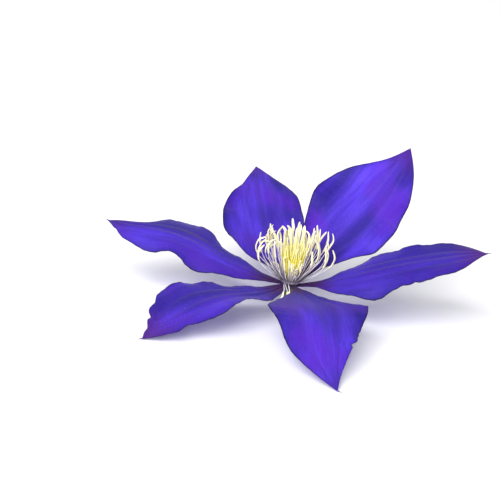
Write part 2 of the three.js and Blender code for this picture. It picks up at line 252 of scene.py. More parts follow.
class Graph:
    """Adds and joins the nodes of one tree."""

    def __init__(self, tree: bpy.types.NodeTree) -> None:
        """Keeps the tree that the nodes go into."""
        self.tree = tree

    def add(self, kind: str, **settings: object) -> bpy.types.Node:
        """A new node with its settings.

        Args:
            kind: The node's type.
            settings: Its properties by name.

        Returns:
            The node.
        """
        node = self.tree.nodes.new(kind)
        for name, value in settings.items():
            setattr(node, name, value)
        return node

    @staticmethod
    def socket(sockets: Iterable[bpy.types.NodeSocket], name: str) -> bpy.types.NodeSocket:
        """The socket of that name that is in use."""
        return next(s for s in sockets if s.enabled and s.name == name)

    def feed(self, target: bpy.types.NodeSocket, value: object) -> None:
        """Sets an input to a plain value, or joins it to another node.

        Args:
            target: The input.
            value: A number, colour or output socket.
        """
        if isinstance(value, bpy.types.NodeSocket):
            self.tree.links.new(value, target)
        else:
            target.default_value = value

    def put(self, node: bpy.types.Node, **values: object) -> bpy.types.Node:
        """Sets a node's inputs, or joins them to other nodes.

        Args:
            node: The node.
            values: A number, colour or output socket for each input, by name with _ for spaces.

        Returns:
            The same node.
        """
        for name, value in values.items():
            self.feed(self.socket(node.inputs, name.replace("_", " ")), value)
        return node

    def out(self, node: bpy.types.Node, name: str) -> bpy.types.NodeSocket:
        """A node's output of that name."""
        return self.socket(node.outputs, name)

    def math(self, operation: str, *values: object) -> bpy.types.NodeSocket:
        """One step of arithmetic.

        Args:
            operation: The Math node's operation.
            values: Its one, two or three inputs, as numbers or sockets.

        Returns:
            The result.
        """
        node = self.add("ShaderNodeMath", operation=operation)
        for target, value in zip(node.inputs, values):
            self.feed(target, value)
        return node.outputs[0]

    def parts(self, vector: bpy.types.NodeSocket) -> tuple[bpy.types.NodeSocket, ...]:
        """The x, y and z of a vector."""
        node = self.put(self.add("ShaderNodeSeparateXYZ"), Vector=vector)
        return tuple(node.outputs)

    def vector(self, x: object, y: object, z: object = 0.0) -> bpy.types.NodeSocket:
        """A vector from its x, y and z."""
        return self.put(self.add("ShaderNodeCombineXYZ"), X=x, Y=y, Z=z).outputs[0]

    def ranged(
        self, value: object, low: float, high: float, to_low: float = 0.0, to_high: float = 1.0
    ) -> bpy.types.NodeSocket:
        """A value taken smoothly from one range to another, held at the ends.

        Args:
            value: The value.
            low: Start of its range.
            high: End of its range.
            to_low: What the start becomes.
            to_high: What the end becomes.

        Returns:
            The result.
        """
        node = self.add("ShaderNodeMapRange", interpolation_type="SMOOTHSTEP")
        self.put(node, Value=value, From_Min=low, From_Max=high, To_Min=to_low, To_Max=to_high)
        return self.out(node, "Result")

    def mixed(self, share: object, one: object, other: object) -> bpy.types.NodeSocket:
        """Two colours mixed by a share of the second."""
        node = self.add("ShaderNodeMix", data_type="RGBA")
        return self.out(self.put(node, Factor=share, A=one, B=other), "Result")

    def tinted(
        self, colour: object, other: object, where: object, share: float
    ) -> bpy.types.NodeSocket:
        """A colour that takes on a share of another one, as far as a mask says."""
        return self.mixed(self.math("MULTIPLY", where, share), colour, other)

    def noise(self, vector: object, scale: float, detail: float = 3.0) -> bpy.types.NodeSocket:
        """Cloudy noise from 0 to 1."""
        node = self.put(self.add("ShaderNodeTexNoise"), Vector=vector, Scale=scale, Detail=detail)
        return node.outputs[0]

    def curve(self, value: object, points: Sequence[tuple[float, float]]) -> bpy.types.NodeSocket:
        """A value read off a drawn curve.

        Args:
            value: Where to read the curve, from 0 to 1.
            points: The curve's points, from left to right.

        Returns:
            The curve's height there.
        """
        node = self.put(self.add("ShaderNodeFloatCurve"), Value=value)
        drawn = node.mapping.curves[0].points
        for _ in range(len(points) - len(drawn)):
            drawn.new(0.5, 0.5)
        for point, place in zip(drawn, points):
            point.location = place
        node.mapping.update()
        return node.outputs[0]

    def attribute(self, name: str) -> bpy.types.NodeSocket:
        """A surface's own named vector."""
        return self.out(self.add("ShaderNodeAttribute", attribute_name=name), "Vector")

    def place(self) -> bpy.types.NodeSocket:
        """Where a point of the surface is on its object."""
        return self.out(self.add("ShaderNodeTexCoord"), "Object")


@dataclass(frozen=True)
class Fade:
    """A number that changes smoothly over a stretch and holds beyond its ends."""

    start: float
    end: float
    first: float = 0.0  # the number at the start
    last: float = 1.0

    def read(self, graph: Graph, value: object) -> bpy.types.NodeSocket:
        """The number at a value."""
        return graph.ranged(value, self.start, self.end, self.first, self.last)


@dataclass(frozen=True)
class Shine:
    """How a surface answers light, apart from its colour."""

    roughness: float
    specular: float
    sheen: float
    sheen_roughness: float
    glow: float  # share of the light that scatters under the surface
    glow_depth: float
    glow_reach: tuple[float, float, float] = (1.0, 0.6, 1.0)  # for red, green and blue

    def surface(self, graph: Graph, colour: object, height: object, relief: float) -> None:
        """Ends a material's graph in its shader.

        Args:
            graph: The material's graph.
            colour: The surface's colour.
            height: The relief's height, from 0 to 1.
            relief: What a height of 1 is, in metres.
        """
        raised = graph.add("ShaderNodeBump")
        graph.put(raised, Strength=1.0, Distance=relief, Height=height)
        shader = graph.add("ShaderNodeBsdfPrincipled")
        graph.put(
            shader,
            Base_Color=colour,
            Roughness=self.roughness,
            Normal=raised.outputs[0],
            Specular_IOR_Level=self.specular,
            Sheen_Weight=self.sheen,
            Sheen_Roughness=self.sheen_roughness,
            Subsurface_Weight=self.glow,
            Subsurface_Scale=self.glow_depth,
            Subsurface_Radius=self.glow_reach,
        )
        end = graph.add("ShaderNodeOutputMaterial")
        graph.put(end, Surface=shader.outputs[0])


def material_graph(name: str) -> tuple[bpy.types.Material, Graph]:
    """A new material with an empty graph.

    Args:
        name: The material's name.

    Returns:
        The material and its graph.
    """
    material = bpy.data.materials.new(name)
    material.use_nodes = True
    material.node_tree.nodes.clear()
    return material, Graph(material.node_tree)


def tree_with(name: str, **inputs: str) -> tuple[Graph, bpy.types.Node, bpy.types.Node]:
    """A geometry tree with named inputs.

    Args:
        name: The tree's name.
        inputs: The kind of each input, by name with _ for spaces.

    Returns:
        The tree's graph, its input node and its output node.
    """
    tree = bpy.data.node_groups.new(name, "GeometryNodeTree")
    tree.interface.new_socket("Geometry", in_out="INPUT", socket_type="NodeSocketGeometry")
    for key, kind in inputs.items():
        tree.interface.new_socket(
            key.replace("_", " "), in_out="INPUT", socket_type="NodeSocket" + kind
        )
    tree.interface.new_socket("Geometry", in_out="OUTPUT", socket_type="NodeSocketGeometry")
    graph = Graph(tree)
    return graph, graph.add("NodeGroupInput"), graph.add("NodeGroupOutput")


def grown(seedling: bpy.types.Object, tree: bpy.types.NodeTree, **inputs: object) -> None:
    """Runs a geometry tree on an object and keeps the outcome as its plain mesh.

    Args:
        seedling: The object that the tree starts from.
        tree: The geometry tree.
        inputs: The tree's inputs, by name with _ for spaces.
    """
    modifier = seedling.modifiers.new(tree.name, "NODES")
    modifier.node_group = tree
    for item in tree.interface.items_tree:
        key = item.name.replace(" ", "_")
        if item.in_out == "INPUT" and key in inputs:
            modifier[item.identifier] = inputs[key]
    depsgraph = bpy.context.evaluated_depsgraph_get()
    evaluated = seedling.evaluated_get(depsgraph)
    mesh = bpy.data.meshes.new_from_object(
        evaluated, preserve_all_data_layers=True, depsgraph=depsgraph
    )
    seedling.modifiers.remove(modifier)
    old = seedling.data
    seedling.data = mesh
    mesh.name = seedling.name
    bpy.data.meshes.remove(old)


# ---------------------------------------------------------------- finishes


@dataclass(frozen=True)
class Clouds:
    """Noise stretched along a blade."""

    aside: float  # clouds in a millimetre across the blade
    ahead: float  # clouds in a millimetre along it
    detail: float = 2.0  # how fine their edges are
    shown: Fade = Fade(0.0, 1.0)  # which part of the noise shows

    def noise(self, graph: Graph, tissue: bpy.types.NodeSocket) -> bpy.types.NodeSocket:
        """The bare noise.

        Args:
            graph: The material's graph.
            tissue: Millimetres from the midrib and from the foot, and the blade's own number.

        Returns:
            The noise, from 0 to 1.
        """
        stretched = graph.add("ShaderNodeVectorMath", operation="MULTIPLY")
        graph.feed(stretched.inputs[0], tissue)
        graph.feed(stretched.inputs[1], (self.aside, self.ahead, 1.0))
        return graph.noise(stretched.outputs[0], 1.0, self.detail)

    def mask(self, graph: Graph, tissue: bpy.types.NodeSocket) -> bpy.types.NodeSocket:
        """How strongly the clouds show, from 0 to 1."""
        return self.shown.read(graph, self.noise(graph, tissue))


@dataclass(frozen=True)
class TepalFinish:
    """Blue-violet petal tissue: soft lengthwise streaks, fine veins, a dark rim, a dark foot that
    is partly painted shade, and painted shade towards the edges and over the blades that lie in
    more shade.
    """

    deep: Colour = srgb(32, 12, 126)
    bright: Colour = srgb(84, 52, 216)
    purple: Colour = srgb(82, 20, 176)
    rib: Colour = srgb(88, 62, 204)
    vein: Colour = srgb(32, 14, 108)
    speck: Colour = srgb(150, 130, 232)
    # the dark foot: partly the tepal's own dark claw, partly painted shade where the roots crowd at
    # the receptacle
    foot: Colour = srgb(52, 12, 70)
    blush: Colour = srgb(72, 14, 112)
    rim: Colour = srgb(18, 8, 66)
    back: Colour = srgb(104, 86, 192)
    back_rib: Colour = srgb(150, 142, 200)
    # The tissue's clouds, and how strongly their colours show.
    streaks: Clouds = Clouds(0.09, 0.022, 2.0, Fade(0.33, 0.72))
    flecks: Clouds = Clouds(0.75, 0.07, 3.0, Fade(0.38, 0.68))
    fleck_share: float = 0.4
    patches: Clouds = Clouds(0.05, 0.05, 2.0, Fade(0.46, 0.7))
    patch_share: float = 0.6
    dots: Clouds = Clouds(2.4, 1.5, 1.0, Fade(0.68, 0.76))
    specks: float = 0.25  # strength of the pale dots
    painted_shade: float = 0.0  # share of the deep tone over the whole blade: painted shade that darkens a tepal lying in more shade
    # The midrib and the side rib, by shares of the half width.
    rib_outline: tuple[tuple[float, float], ...] = (
        (0, 1),
        (0.06, 0.8),
        (0.16, 0.4),
        (0.3, 0.2),
        (0.42, 0.7),
        (0.55, 0.15),
        (1, 0),
    )
    rib_share: float = 0.28
    # Colours that come in along the blade, towards its edges and on its lower face. The dark foot
    # is partly painted shade, and the deep tone towards the edges is painted shade.
    tip_from: float = 0.78
    blush_share: float = 0.5
    # how strongly the dark foot shows: partly its own colour, partly painted shade
    foot_tone_and_shade: Fade = Fade(0.05, 0.24, 0.95, 0.0)
    # painted shade: the blade darkens towards the deep tone near its edges
    painted_side_shade: Fade = Fade(0.7, 1.0, 0.0, 0.35)
    back_fade: Fade = Fade(0.6, 1.0, 0.0, 0.85)
    rim_fade: Fade = Fade(0.945, 0.99, 0.0, 0.9)
    # Veins that run lengthwise, and the net between them.
    lines: float = 9.0  # lengthwise veins in a half
    line_drift: float = 1.6
    drift: Clouds = Clouds(0.12, 0.05)
    line_fade: Fade = Fade(0.0, 0.22, 1.0, 0.0)
    net_slant: float = -6.0
    net_stretch: float = 0.5
    net_scale: float = 1.1
    net_fade: Fade = Fade(0.0, 0.1, 0.5, 0.0)
    vein_share: float = 0.2
    back_vein_share: float = 0.25
    vein_depth: float = 0.4  # as a share of the grain's height
    grain: Clouds = Clouds(7.0, 5.0)
    relief: float = 0.12 * MM
    shine: Shine = Shine(0.5, 0.22, 0.06, 0.4, 0.12, 0.5 * MM)

    def material(self, name: str) -> bpy.types.Material:
        """The tissue of one tepal, from the blade's own shares and distances.

        Args:
            name: The material's name.

        Returns:
            The material.
        """
        material, graph = material_graph(name)
        side, along, under = graph.parts(graph.attribute("blade"))
        tissue = graph.attribute("tissue")
        across = graph.math("ABSOLUTE", side)
        lines, height = self.veins(graph, side, tissue)
        ribs = graph.curve(across, self.rib_outline)
        colour = graph.mixed(self.streaks.mask(graph, tissue), self.deep, self.bright)
        for clouds, tone, share in (
            (self.flecks, self.deep, self.fleck_share),
            (self.patches, self.purple, self.patch_share),
        ):
            colour = graph.tinted(colour, tone, clouds.mask(graph, tissue), share)
        colour = graph.tinted(colour, self.rib, ribs, self.rib_share)
        colour = graph.tinted(colour, self.vein, lines, self.vein_share)
        colour = graph.tinted(colour, self.speck, self.dots.mask(graph, tissue), self.specks)
        # painted shade: the deep tone laid over the whole blade by its share
        colour = graph.mixed(self.painted_shade, colour, self.deep)
        tip_fade = Fade(self.tip_from, 1.0, 0.0, self.blush_share)
        reverse = graph.mixed(ribs, self.back, self.back_rib)
        reverse = graph.tinted(reverse, self.deep, lines, self.back_vein_share)
        # The tip's blush and the paler lower face are the tissue's own colour; the dark foot is
        # partly painted shade, and the darkening towards the edges is painted shade.
        for fade, place, tone in (
            (tip_fade, along, self.blush),
            (self.foot_tone_and_shade, along, self.foot),
            (self.painted_side_shade, across, self.deep),
            (self.back_fade, under, reverse),
            (self.rim_fade, across, self.rim),
        ):
            colour = graph.mixed(fade.read(graph, place), colour, tone)
        self.shine.surface(graph, colour, height, self.relief)
        return material

    def veins(
        self, graph: Graph, side: bpy.types.NodeSocket, tissue: bpy.types.NodeSocket
    ) -> tuple[bpy.types.NodeSocket, bpy.types.NodeSocket]:
        """Fine veins that run lengthwise with the edges, and a faint net between them.

        Args:
            graph: The material's graph.
            side: The signed share of the half width.
            tissue: Millimetres from the midrib and from the foot, and the blade's own number.

        Returns:
            How strongly a vein shows, and the height of the relief.
        """
        lane = graph.math("MULTIPLY", side, self.lines)
        drift = self.drift.noise(graph, tissue)
        lane = graph.math("MULTIPLY_ADD", drift, self.line_drift, lane)
        wave = graph.math("ABSOLUTE", graph.math("SINE", graph.math("MULTIPLY", lane, math.pi)))
        main = self.line_fade.read(graph, wave)
        _, ahead, own = graph.parts(tissue)
        slant = graph.math("MULTIPLY_ADD", graph.math("ABSOLUTE", side), self.net_slant, ahead)
        skewed = graph.vector(lane, graph.math("MULTIPLY", slant, self.net_stretch), own)
        cells = graph.add("ShaderNodeTexVoronoi", feature="DISTANCE_TO_EDGE")
        graph.put(cells, Vector=skewed, Scale=self.net_scale)
        lines = graph.math("MAXIMUM", main, self.net_fade.read(graph, cells.outputs[0]))
        grain = self.grain.noise(graph, tissue)
        return lines, graph.math("MULTIPLY_ADD", lines, -self.vein_depth, grain)


@dataclass(frozen=True)
class ThreadFinish:
    """Soft plant thread: one colour at the foot, one on the way and one at the tip."""

    foot: Colour
    middle: Colour
    tip: Colour
    shade: Colour
    foot_ends: float
    tip_starts: float
    spot_scale: float = 900.0
    spots: Fade = Fade(0.5, 0.75)
    spot_share: float = 0.5
    own_share: float = 0.22  # how much one thread may differ from the next
    grain_scale: float = 2500.0
    relief: float = 0.06 * MM
    shine: Shine = Shine(0.55, 0.3, 0.1, 0.5, 0.2, 0.6 * MM)

    def material(self, name: str) -> bpy.types.Material:
        """The finish of a thread that knows its share along and a number of its own.

        Args:
            name: The material's name.

        Returns:
            The material.
        """
        material, graph = material_graph(name)
        along, own, _ = graph.parts(graph.attribute("thread"))
        place = graph.place()
        colour = graph.mixed(graph.ranged(along, 0.0, self.foot_ends), self.foot, self.middle)
        colour = graph.mixed(graph.ranged(along, self.tip_starts, 1.0), colour, self.tip)
        spots = self.spots.read(graph, graph.noise(place, self.spot_scale))
        colour = graph.tinted(colour, self.shade, spots, self.spot_share)
        colour = graph.tinted(colour, self.shade, own, self.own_share)
        grain = graph.noise(place, self.grain_scale)
        self.shine.surface(graph, colour, grain, self.relief)
        return material


@dataclass(frozen=True)
class StalkFinish:
    """Downy green skin with lengthwise streaks, dark purple below the bloom (partly its own colour,
    partly painted shade) and pale where cut.
    """

    green: Colour = srgb(122, 142, 82)
    grey: Colour = srgb(150, 152, 120)
    # dark purple under the bloom: partly the stalk's own colour, partly painted shade
    purple: Colour = srgb(62, 44, 58)
    cut: Colour = srgb(206, 214, 160)
    streak_turns: float = 14.0
    streak_scale: float = 1.5
    streaks: Fade = Fade(0.35, 0.65)
    top: Fade = Fade(0.05, 0.3, 0.85, 0.0)  # how dark purple it is, by shares of its length: partly its own colour, partly painted shade under the bloom
    grain_scale: float = 1600.0
    relief: float = 0.08 * MM
    shine: Shine = Shine(0.6, 0.3, 0.3, 0.4, 0.15, 0.6 * MM)

    def material(self, name: str) -> bpy.types.Material:
        """The skin of the stalk, which knows its share along, its turn and its cut face.

        Args:
            name: The material's name.

        Returns:
            The material.
        """
        material, graph = material_graph(name)
        along, turn, cut = graph.parts(graph.attribute("skin"))
        round_it = graph.vector(graph.math("MULTIPLY", turn, self.streak_turns), along)
        streaks = self.streaks.read(graph, graph.noise(round_it, self.streak_scale))
        colour = graph.mixed(streaks, self.green, self.grey)
        # dark purple at the receptacle end: partly own colour, partly painted shade
        colour = graph.mixed(self.top.read(graph, along), colour, self.purple)
        colour = graph.mixed(graph.ranged(cut, 0.0, 1.0), colour, self.cut)
        grain = graph.noise(graph.place(), self.grain_scale)
        self.shine.surface(graph, colour, grain, self.relief)
        return material


# ---------------------------------------------------------------- tepals

# Stations along a blade, as shares of its length.
WIDTH_AT = (0, 0.1, 0.2, 0.4, 0.6, 0.8, 0.92, 1)
LEVEL = (0, 0, 0, 0, 0, 0)


@dataclass(frozen=True)
class Nick:
    """A small notch in an edge, or a bulge where its depth is negative."""

    at: float  # share of the blade's length
    reach: float  # share of the length on either side
    depth: float  # in metres


@dataclass(frozen=True)
class Side:
    """One half of a blade, from the midrib to an edge."""

    half: Values  # width at each of WIDTH_AT, in millimetres
    curl: Values  # how far the edge has turned up, in degrees
    wave: tuple[float, float, float]  # the ruffle's height in millimetres, count and shift
    nicks: tuple[Nick, ...] = ()


@dataclass(frozen=True)
class TepalForm:
    """One tepal seen from above with its tip away: left is its anticlockwise side."""

    node: str
    azimuth: float
    length: float
    slope: Values  # climb of the midrib
    left: Side
    right: Side
    heading: Values = LEVEL  # turn of the midrib from the azimuth
    bank: Values = LEVEL  # roll of the blade
    awn: float = 0.0  # length of the thread that ends the tip
    awn_turn: float = 0.0
    blush: float = 0.3
    # share of painted shade that darkens the whole blade towards the deep tone
    painted_shade: float = 0.0
    specks: float = 0.25
    seed: int = 1


TEPAL_FORMS = (
    TepalForm(
        node="tepal_right",
        azimuth=-2,
        length=68.3 * MM,
        slope=(10, 24, 22, 17.5, 14.5, 7),
        heading=(0, 0, -0.2, 2.7, 3.2, 1.3),
        left=Side(
            (1.2, 2.3, 4.6, 12.4, 10.9, 11.2, 7, 0),
            (10, 0, 0, 20, 10, 0),
            (0.45, 5, 0.12),
        ),
        right=Side(
            (1.3, 2.6, 8.6, 13.7, 12.3, 12, 6.1, 0),
            (-10, -40, -64, -30, -20, 0),
            (0.8, 4, 0.24),
            (Nick(0.6, 0.02, 0.7 * MM), Nick(0.57, 0.03, -0.5 * MM)),
        ),
        awn=1.6 * MM,
        blush=0.85,
        painted_shade=0.5,
        specks=0.35,
        seed=11,
    ),
    TepalForm(
        node="tepal_back_right",
        azimuth=47,
        length=70.2 * MM,
        slope=(30, 38, 38, 41.5, 45.4, 51.4),
        heading=(0, 0, -2.2, -4.2, -4.1, -4.1),
        bank=(0, 18, 22, 20, 20, 20),
        left=Side(
            (1.3, 3.6, 7, 16.7, 19, 10.2, 3.4, 0),
            (20, 10, 10, 10, 10, 0),
            (0.9, 4, 0.29),
            (Nick(0.3, 0.07, -0.9 * MM),),
        ),
        right=Side(
            (1.3, 3, 6, 15.5, 15.6, 10.8, 5, 0),
            (20, 10, 10, 10, 10, 0),
            (0.7, 6, 0.44),
        ),
        blush=0.6,
        seed=12,
    ),
    TepalForm(
        node="tepal_back",
        azimuth=109,
        length=70.8 * MM,
        slope=(14, 20, 24, 23, 18.4, 8.3),
        heading=(0, 0, -3, -6, -9, -10),
        left=Side(
            (1.3, 5.1, 11.2, 17.7, 15.3, 6.5, 2.3, 0),
            (20, 10, 10, 10, 10, 0),
            (0.8, 5, 0.77),
        ),
        right=Side(
            (1.3, 4, 8, 13.4, 16, 12.3, 4, 0),
            (20, 10, 0, -10, -10, 0),
            (0.55, 4, 0.38),
            (Nick(0.36, 0.1, -0.9 * MM),),
        ),
        blush=0.35,
        seed=13,
    ),
    TepalForm(
        node="tepal_left",
        azimuth=172,
        length=68.2 * MM,
        slope=(6, 17, 22.3, 10.6, -2.1, 0.9),
        heading=(0, 0.3, -0.5, -1, -1.2, -1),
        left=Side(
            (1.3, 3.8, 6, 11.8, 11.7, 11, 6.1, 0),
            (0, -30, -60, -40, -60, 0),
            (0.8, 4, 0.95),
            (Nick(0.93, 0.02, 0.8 * MM), Nick(0.88, 0.03, -0.4 * MM)),
        ),
        right=Side(
            (1.3, 3.8, 5, 10.8, 15.8, 8.4, 3.3, 0),
            (0, 0, 0, 0, -14, 0),
            (0.95, 4, 0.35),
        ),
        awn=0.9 * MM,
        blush=0.4,
        painted_shade=0.35,
        seed=14,
    ),
    TepalForm(
        node="tepal_front_left",
        azimuth=222,
        length=63.2 * MM,
        slope=(-6, 2.7, 5, -11, -26.2, -27.1),
        bank=(0, 0, 0, -4, -8, 0),
        left=Side(
            (1.3, 4.1, 8.8, 10, 11.4, 7.8, 4.8, 0),
            (10, 6, 10, 6, 6, 0),
            (0.9, 2, 0.44),
            (
                Nick(0.09, 0.08, -2.1 * MM),
                Nick(0.78, 0.02, 0.6 * MM),
                Nick(0.85, 0.05, -1.1 * MM),
            ),
        ),
        right=Side(
            (1.3, 3, 4.6, 10.2, 14.1, 10.8, 4.2, 0),
            (0, 0, 0, 0, 0, 0),
            (0.6, 5, 0.18),
            (
                Nick(0.79, 0.05, 1.7 * MM),
                Nick(0.87, 0.018, 1.6 * MM),
                Nick(0.93, 0.03, 0.9 * MM),
            ),
        ),
        awn=2.2 * MM,
        blush=0.85,
        painted_shade=0.25,
        specks=0.55,
        seed=15,
    ),
    TepalForm(
        node="tepal_front",
        azimuth=289,
        length=67.2 * MM,
        slope=(8, 8, 4.6, -18.1, -28, -27.9),
        heading=(0, 0.5, -3, -6.8, -9.7, -9.8),
        left=Side(
            (1.3, 2, 4, 16.4, 11.5, 4.8, 1.5, 0),
            (20, 10, 0, 0, 0, 0),
            (0.85, 3, 0.9),
            (
                Nick(0.4, 0.05, -1.0 * MM),
                Nick(0.63, 0.012, 0.4 * MM),
                Nick(0.69, 0.02, -0.4 * MM),
                Nick(0.72, 0.018, 1.0 * MM),
            ),
        ),
        right=Side(
            (1.3, 1.6, 7.8, 17.9, 16.4, 12.6, 6, 0),
            (20, 10, 0, 0, 0, 0),
            (0.9, 2, 0.28),
            (Nick(0.11, 0.06, -1.2 * MM),),
        ),
        awn=2.2 * MM,
        awn_turn=40,
        blush=0.25,
        seed=16,
    ),
)


@dataclass
class Tepal:
    """One tepal: a thin blade with three channelled ribs, ruffled edges and a pointed tip."""

    form: TepalForm
    rows: int = 150
    half_columns: int = 30
    substeps: int = 8  # steps of the midrib in a row
    middle_thickness: float = 0.42 * MM
    edge_thickness: float = 0.16 * MM
    rib_depth: float = 0.3 * MM
    rib_width: float = 0.06  # as a share of the half width
    side_ribs: float = 0.42  # share of the half width at which they run
    side_rib_depth: float = 0.7  # share of the midrib's depth
    ribs_from: float = 6 * MM  # half width from which the ribs have their full depth
    back_rib: float = 0.3 * MM  # how far they stand out below
    quilt: float = 0.3 * MM  # how far the tissue bulges between them
    outer_quilt: float = 0.6  # share of the quilting outside the side ribs
    crinkle: float = 0.22 * MM
    crinkle_waves: tuple[int, ...] = (7, 11, 16, 23)
    crinkle_lean: float = 2.0
    edge_power: int = 3  # how late crinkles and ruffles set in towards an edge
    least_curl: float = 1e-4  # in radians; what a flat half is given
    touching: float = 1e-9  # share within which the midrib belongs to both halves
    root_sunk: float = 1.0 * MM
    awn_radius: float = 0.16 * MM
    awn_sides: int = 6
    awn_steps: int = 6
    awn_sunk: float = 0.3  # share of its length that starts inside the tip
    awn_lift: float = 1.5  # in radii
    awn_blunt: float = 0.05  # share of the radius that is left at its end

    def midrib(self, t: np.ndarray) -> tuple[np.ndarray, np.ndarray, np.ndarray, np.ndarray]:
        """Points and axes along the midrib, in the bloom's frame.

        Args:
            t: Shares of the length, rising from 0 to 1.

        Returns:
            The points, and at each the directions along, across to the left and up.
        """
        form = self.form
        fine = np.linspace(0, 1, self.rows * self.substeps + 1)
        steps = self.direction((fine[1:] + fine[:-1]) / 2) * form.length / (len(fine) - 1)
        start = math.radians(form.azimuth)
        root = ROOT_RADIUS * np.array([math.cos(start), math.sin(start), 0])
        walked = root + np.vstack([np.zeros(3), np.cumsum(steps, axis=0)])
        points = np.stack([np.interp(t, fine, walked[:, k]) for k in range(3)], axis=1)
        along = self.direction(t)
        level = unit(np.stack([-along[:, 1], along[:, 0], 0 * t], axis=1))
        lifted = np.cross(along, level)
        roll = np.radians(smooth(even(form.bank), form.bank, t))[:, None]
        across = level * np.cos(roll) + lifted * np.sin(roll)
        return points, along, across, np.cross(along, across)

    def direction(self, t: np.ndarray) -> np.ndarray:
        """The way that the midrib runs.

        Args:
            t: Shares of its length.

        Returns:
            A direction for each share.
        """
        form = self.form
        climb = np.radians(smooth(even(form.slope), form.slope, t))
        turn = np.radians(form.azimuth + smooth(even(form.heading), form.heading, t))
        flat = np.cos(climb)
        return np.stack([flat * np.cos(turn), flat * np.sin(turn), np.sin(climb)], axis=1)

    def half_width(self, side: Side, t: np.ndarray) -> np.ndarray:
        """The width from the midrib to an edge, with its notches.

        Args:
            side: The half of the blade.
            t: Shares of the length.

        Returns:
            Widths in metres.
        """
        half = np.maximum(smooth(WIDTH_AT, side.half, t), 0) * MM
        for nick in side.nicks:
            half -= nick.depth * np.clip(1 - np.abs(t - nick.at) / nick.reach, 0, 1)
        return np.maximum(half, 0)

    def ripple(self, t: np.ndarray, share: np.ndarray, sign: int) -> np.ndarray:
        """Small crinkles that grow towards an edge, from -1 to 1.

        Args:
            t: Shares of the length, one row each.
            share: Shares of the half width, one column each.
            sign: 1 for the left half and -1 for the right one.

        Returns:
            The crinkle at each row and column.
        """
        numbers = np.random.default_rng(self.form.seed * 2 + (sign > 0))
        total = np.zeros((len(t), len(share)))
        for waves in self.crinkle_waves:
            shift = numbers.uniform(0, 2 * math.pi)
            lean = numbers.uniform(-self.crinkle_lean, self.crinkle_lean)
            total += np.sin(2 * math.pi * waves * t[:, None] + lean * share[None, :] + shift)
        mean = total / len(self.crinkle_waves)
        return mean * share[None, :] ** self.edge_power * np.sin(math.pi * t)[:, None]

    def ruffle(self, side: Side, t: np.ndarray, share: np.ndarray) -> np.ndarray:
        """Long waves that grow towards an edge and rest at the foot and at the tip.

        Args:
            side: The half of the blade.
            t: Shares of the length, one row each.
            share: Shares of the half width, one column each.

        Returns:
            The height at each row and column.
        """
        height, count, shift = side.wave
        swell = np.sin(math.pi * t) * np.sin(2 * math.pi * (count * t + shift))
        return height * MM * swell[:, None] * share[None, :] ** self.edge_power

    def ribs(self, share: np.ndarray) -> np.ndarray:
        """How far the midrib and a side rib stand out at shares of the half width."""
        side = bump(share - self.side_ribs, self.rib_width)
        return bump(share, self.rib_width) + self.side_rib_depth * side

    def grown_out(self, half: np.ndarray) -> np.ndarray:
        """How much of their full depth the ribs have, one row for each half width."""
        return np.minimum(half / self.ribs_from, 1)[:, None]

    def relief(self, t: np.ndarray, share: np.ndarray, half: np.ndarray) -> np.ndarray:
        """Channels over the ribs and soft quilting between them.

        Args:
            t: Shares of the length, one row each.
            share: Shares of the half width, one column each.
            half: The half width at each row.

        Returns:
            The height at each row and column.
        """
        inner = np.sin(math.pi * np.clip(share / self.side_ribs, 0, 1)) ** 2
        beyond = (share - self.side_ribs) / (1 - self.side_ribs)
        outer = self.outer_quilt * np.sin(math.pi * np.clip(beyond, 0, 1)) ** 2
        quilted = self.quilt * (inner + outer)[None, :] * np.sqrt(np.sin(math.pi * t))[:, None]
        return self.grown_out(half) * (quilted - self.rib_depth * self.ribs(share))

    def faces_of(self, t: np.ndarray) -> tuple[np.ndarray, np.ndarray, np.ndarray]:
        """The blade's upper and lower face, row by row from the left edge to the right one.

        Args:
            t: Shares of the length, one row each.

        Returns:
            Upper points, lower points, and the distance of each from the midrib.
        """
        points, _, across, up = self.midrib(t)
        columns = np.linspace(1, -1, 2 * self.half_columns + 1)
        upper = np.zeros((len(t), len(columns), 3))
        lower = np.zeros_like(upper)
        aside = np.zeros(upper.shape[:2])
        for sign, side in ((1, self.form.left), (-1, self.form.right)):
            chosen = columns * sign > -self.touching
            share = np.abs(columns[chosen])
            half = self.half_width(side, t)
            curl = np.radians(smooth(even(side.curl), side.curl, t))
            curl = np.where(np.abs(curl) < self.least_curl, self.least_curl, curl)[:, None]
            turned = curl * share[None, :]
            lift = half[:, None] * (1 - np.cos(turned)) / curl + self.ruffle(side, t, share)
            lift += self.crinkle * self.ripple(t, share, sign) + self.relief(t, share, half)
            out = half[:, None] * np.sin(turned) / curl
            middle = points[:, None] + spread_on(across, sign * out) + spread_on(up, lift)
            normal = spread_on(up, np.cos(turned)) - spread_on(across, sign * np.sin(turned))
            thinner = self.edge_thickness - self.middle_thickness
            thick = self.middle_thickness + thinner * share**2
            keel = (self.back_rib + self.rib_depth) * self.ribs(share)[None, :]
            below = thick[None, :] / 2 + keel * self.grown_out(half)
            upper[:, chosen] = middle + normal * (thick / 2)[None, :, None]
            lower[:, chosen] = middle - normal * below[..., None]
            aside[:, chosen] = sign * half[:, None] * share[None, :]
        return upper, lower, aside

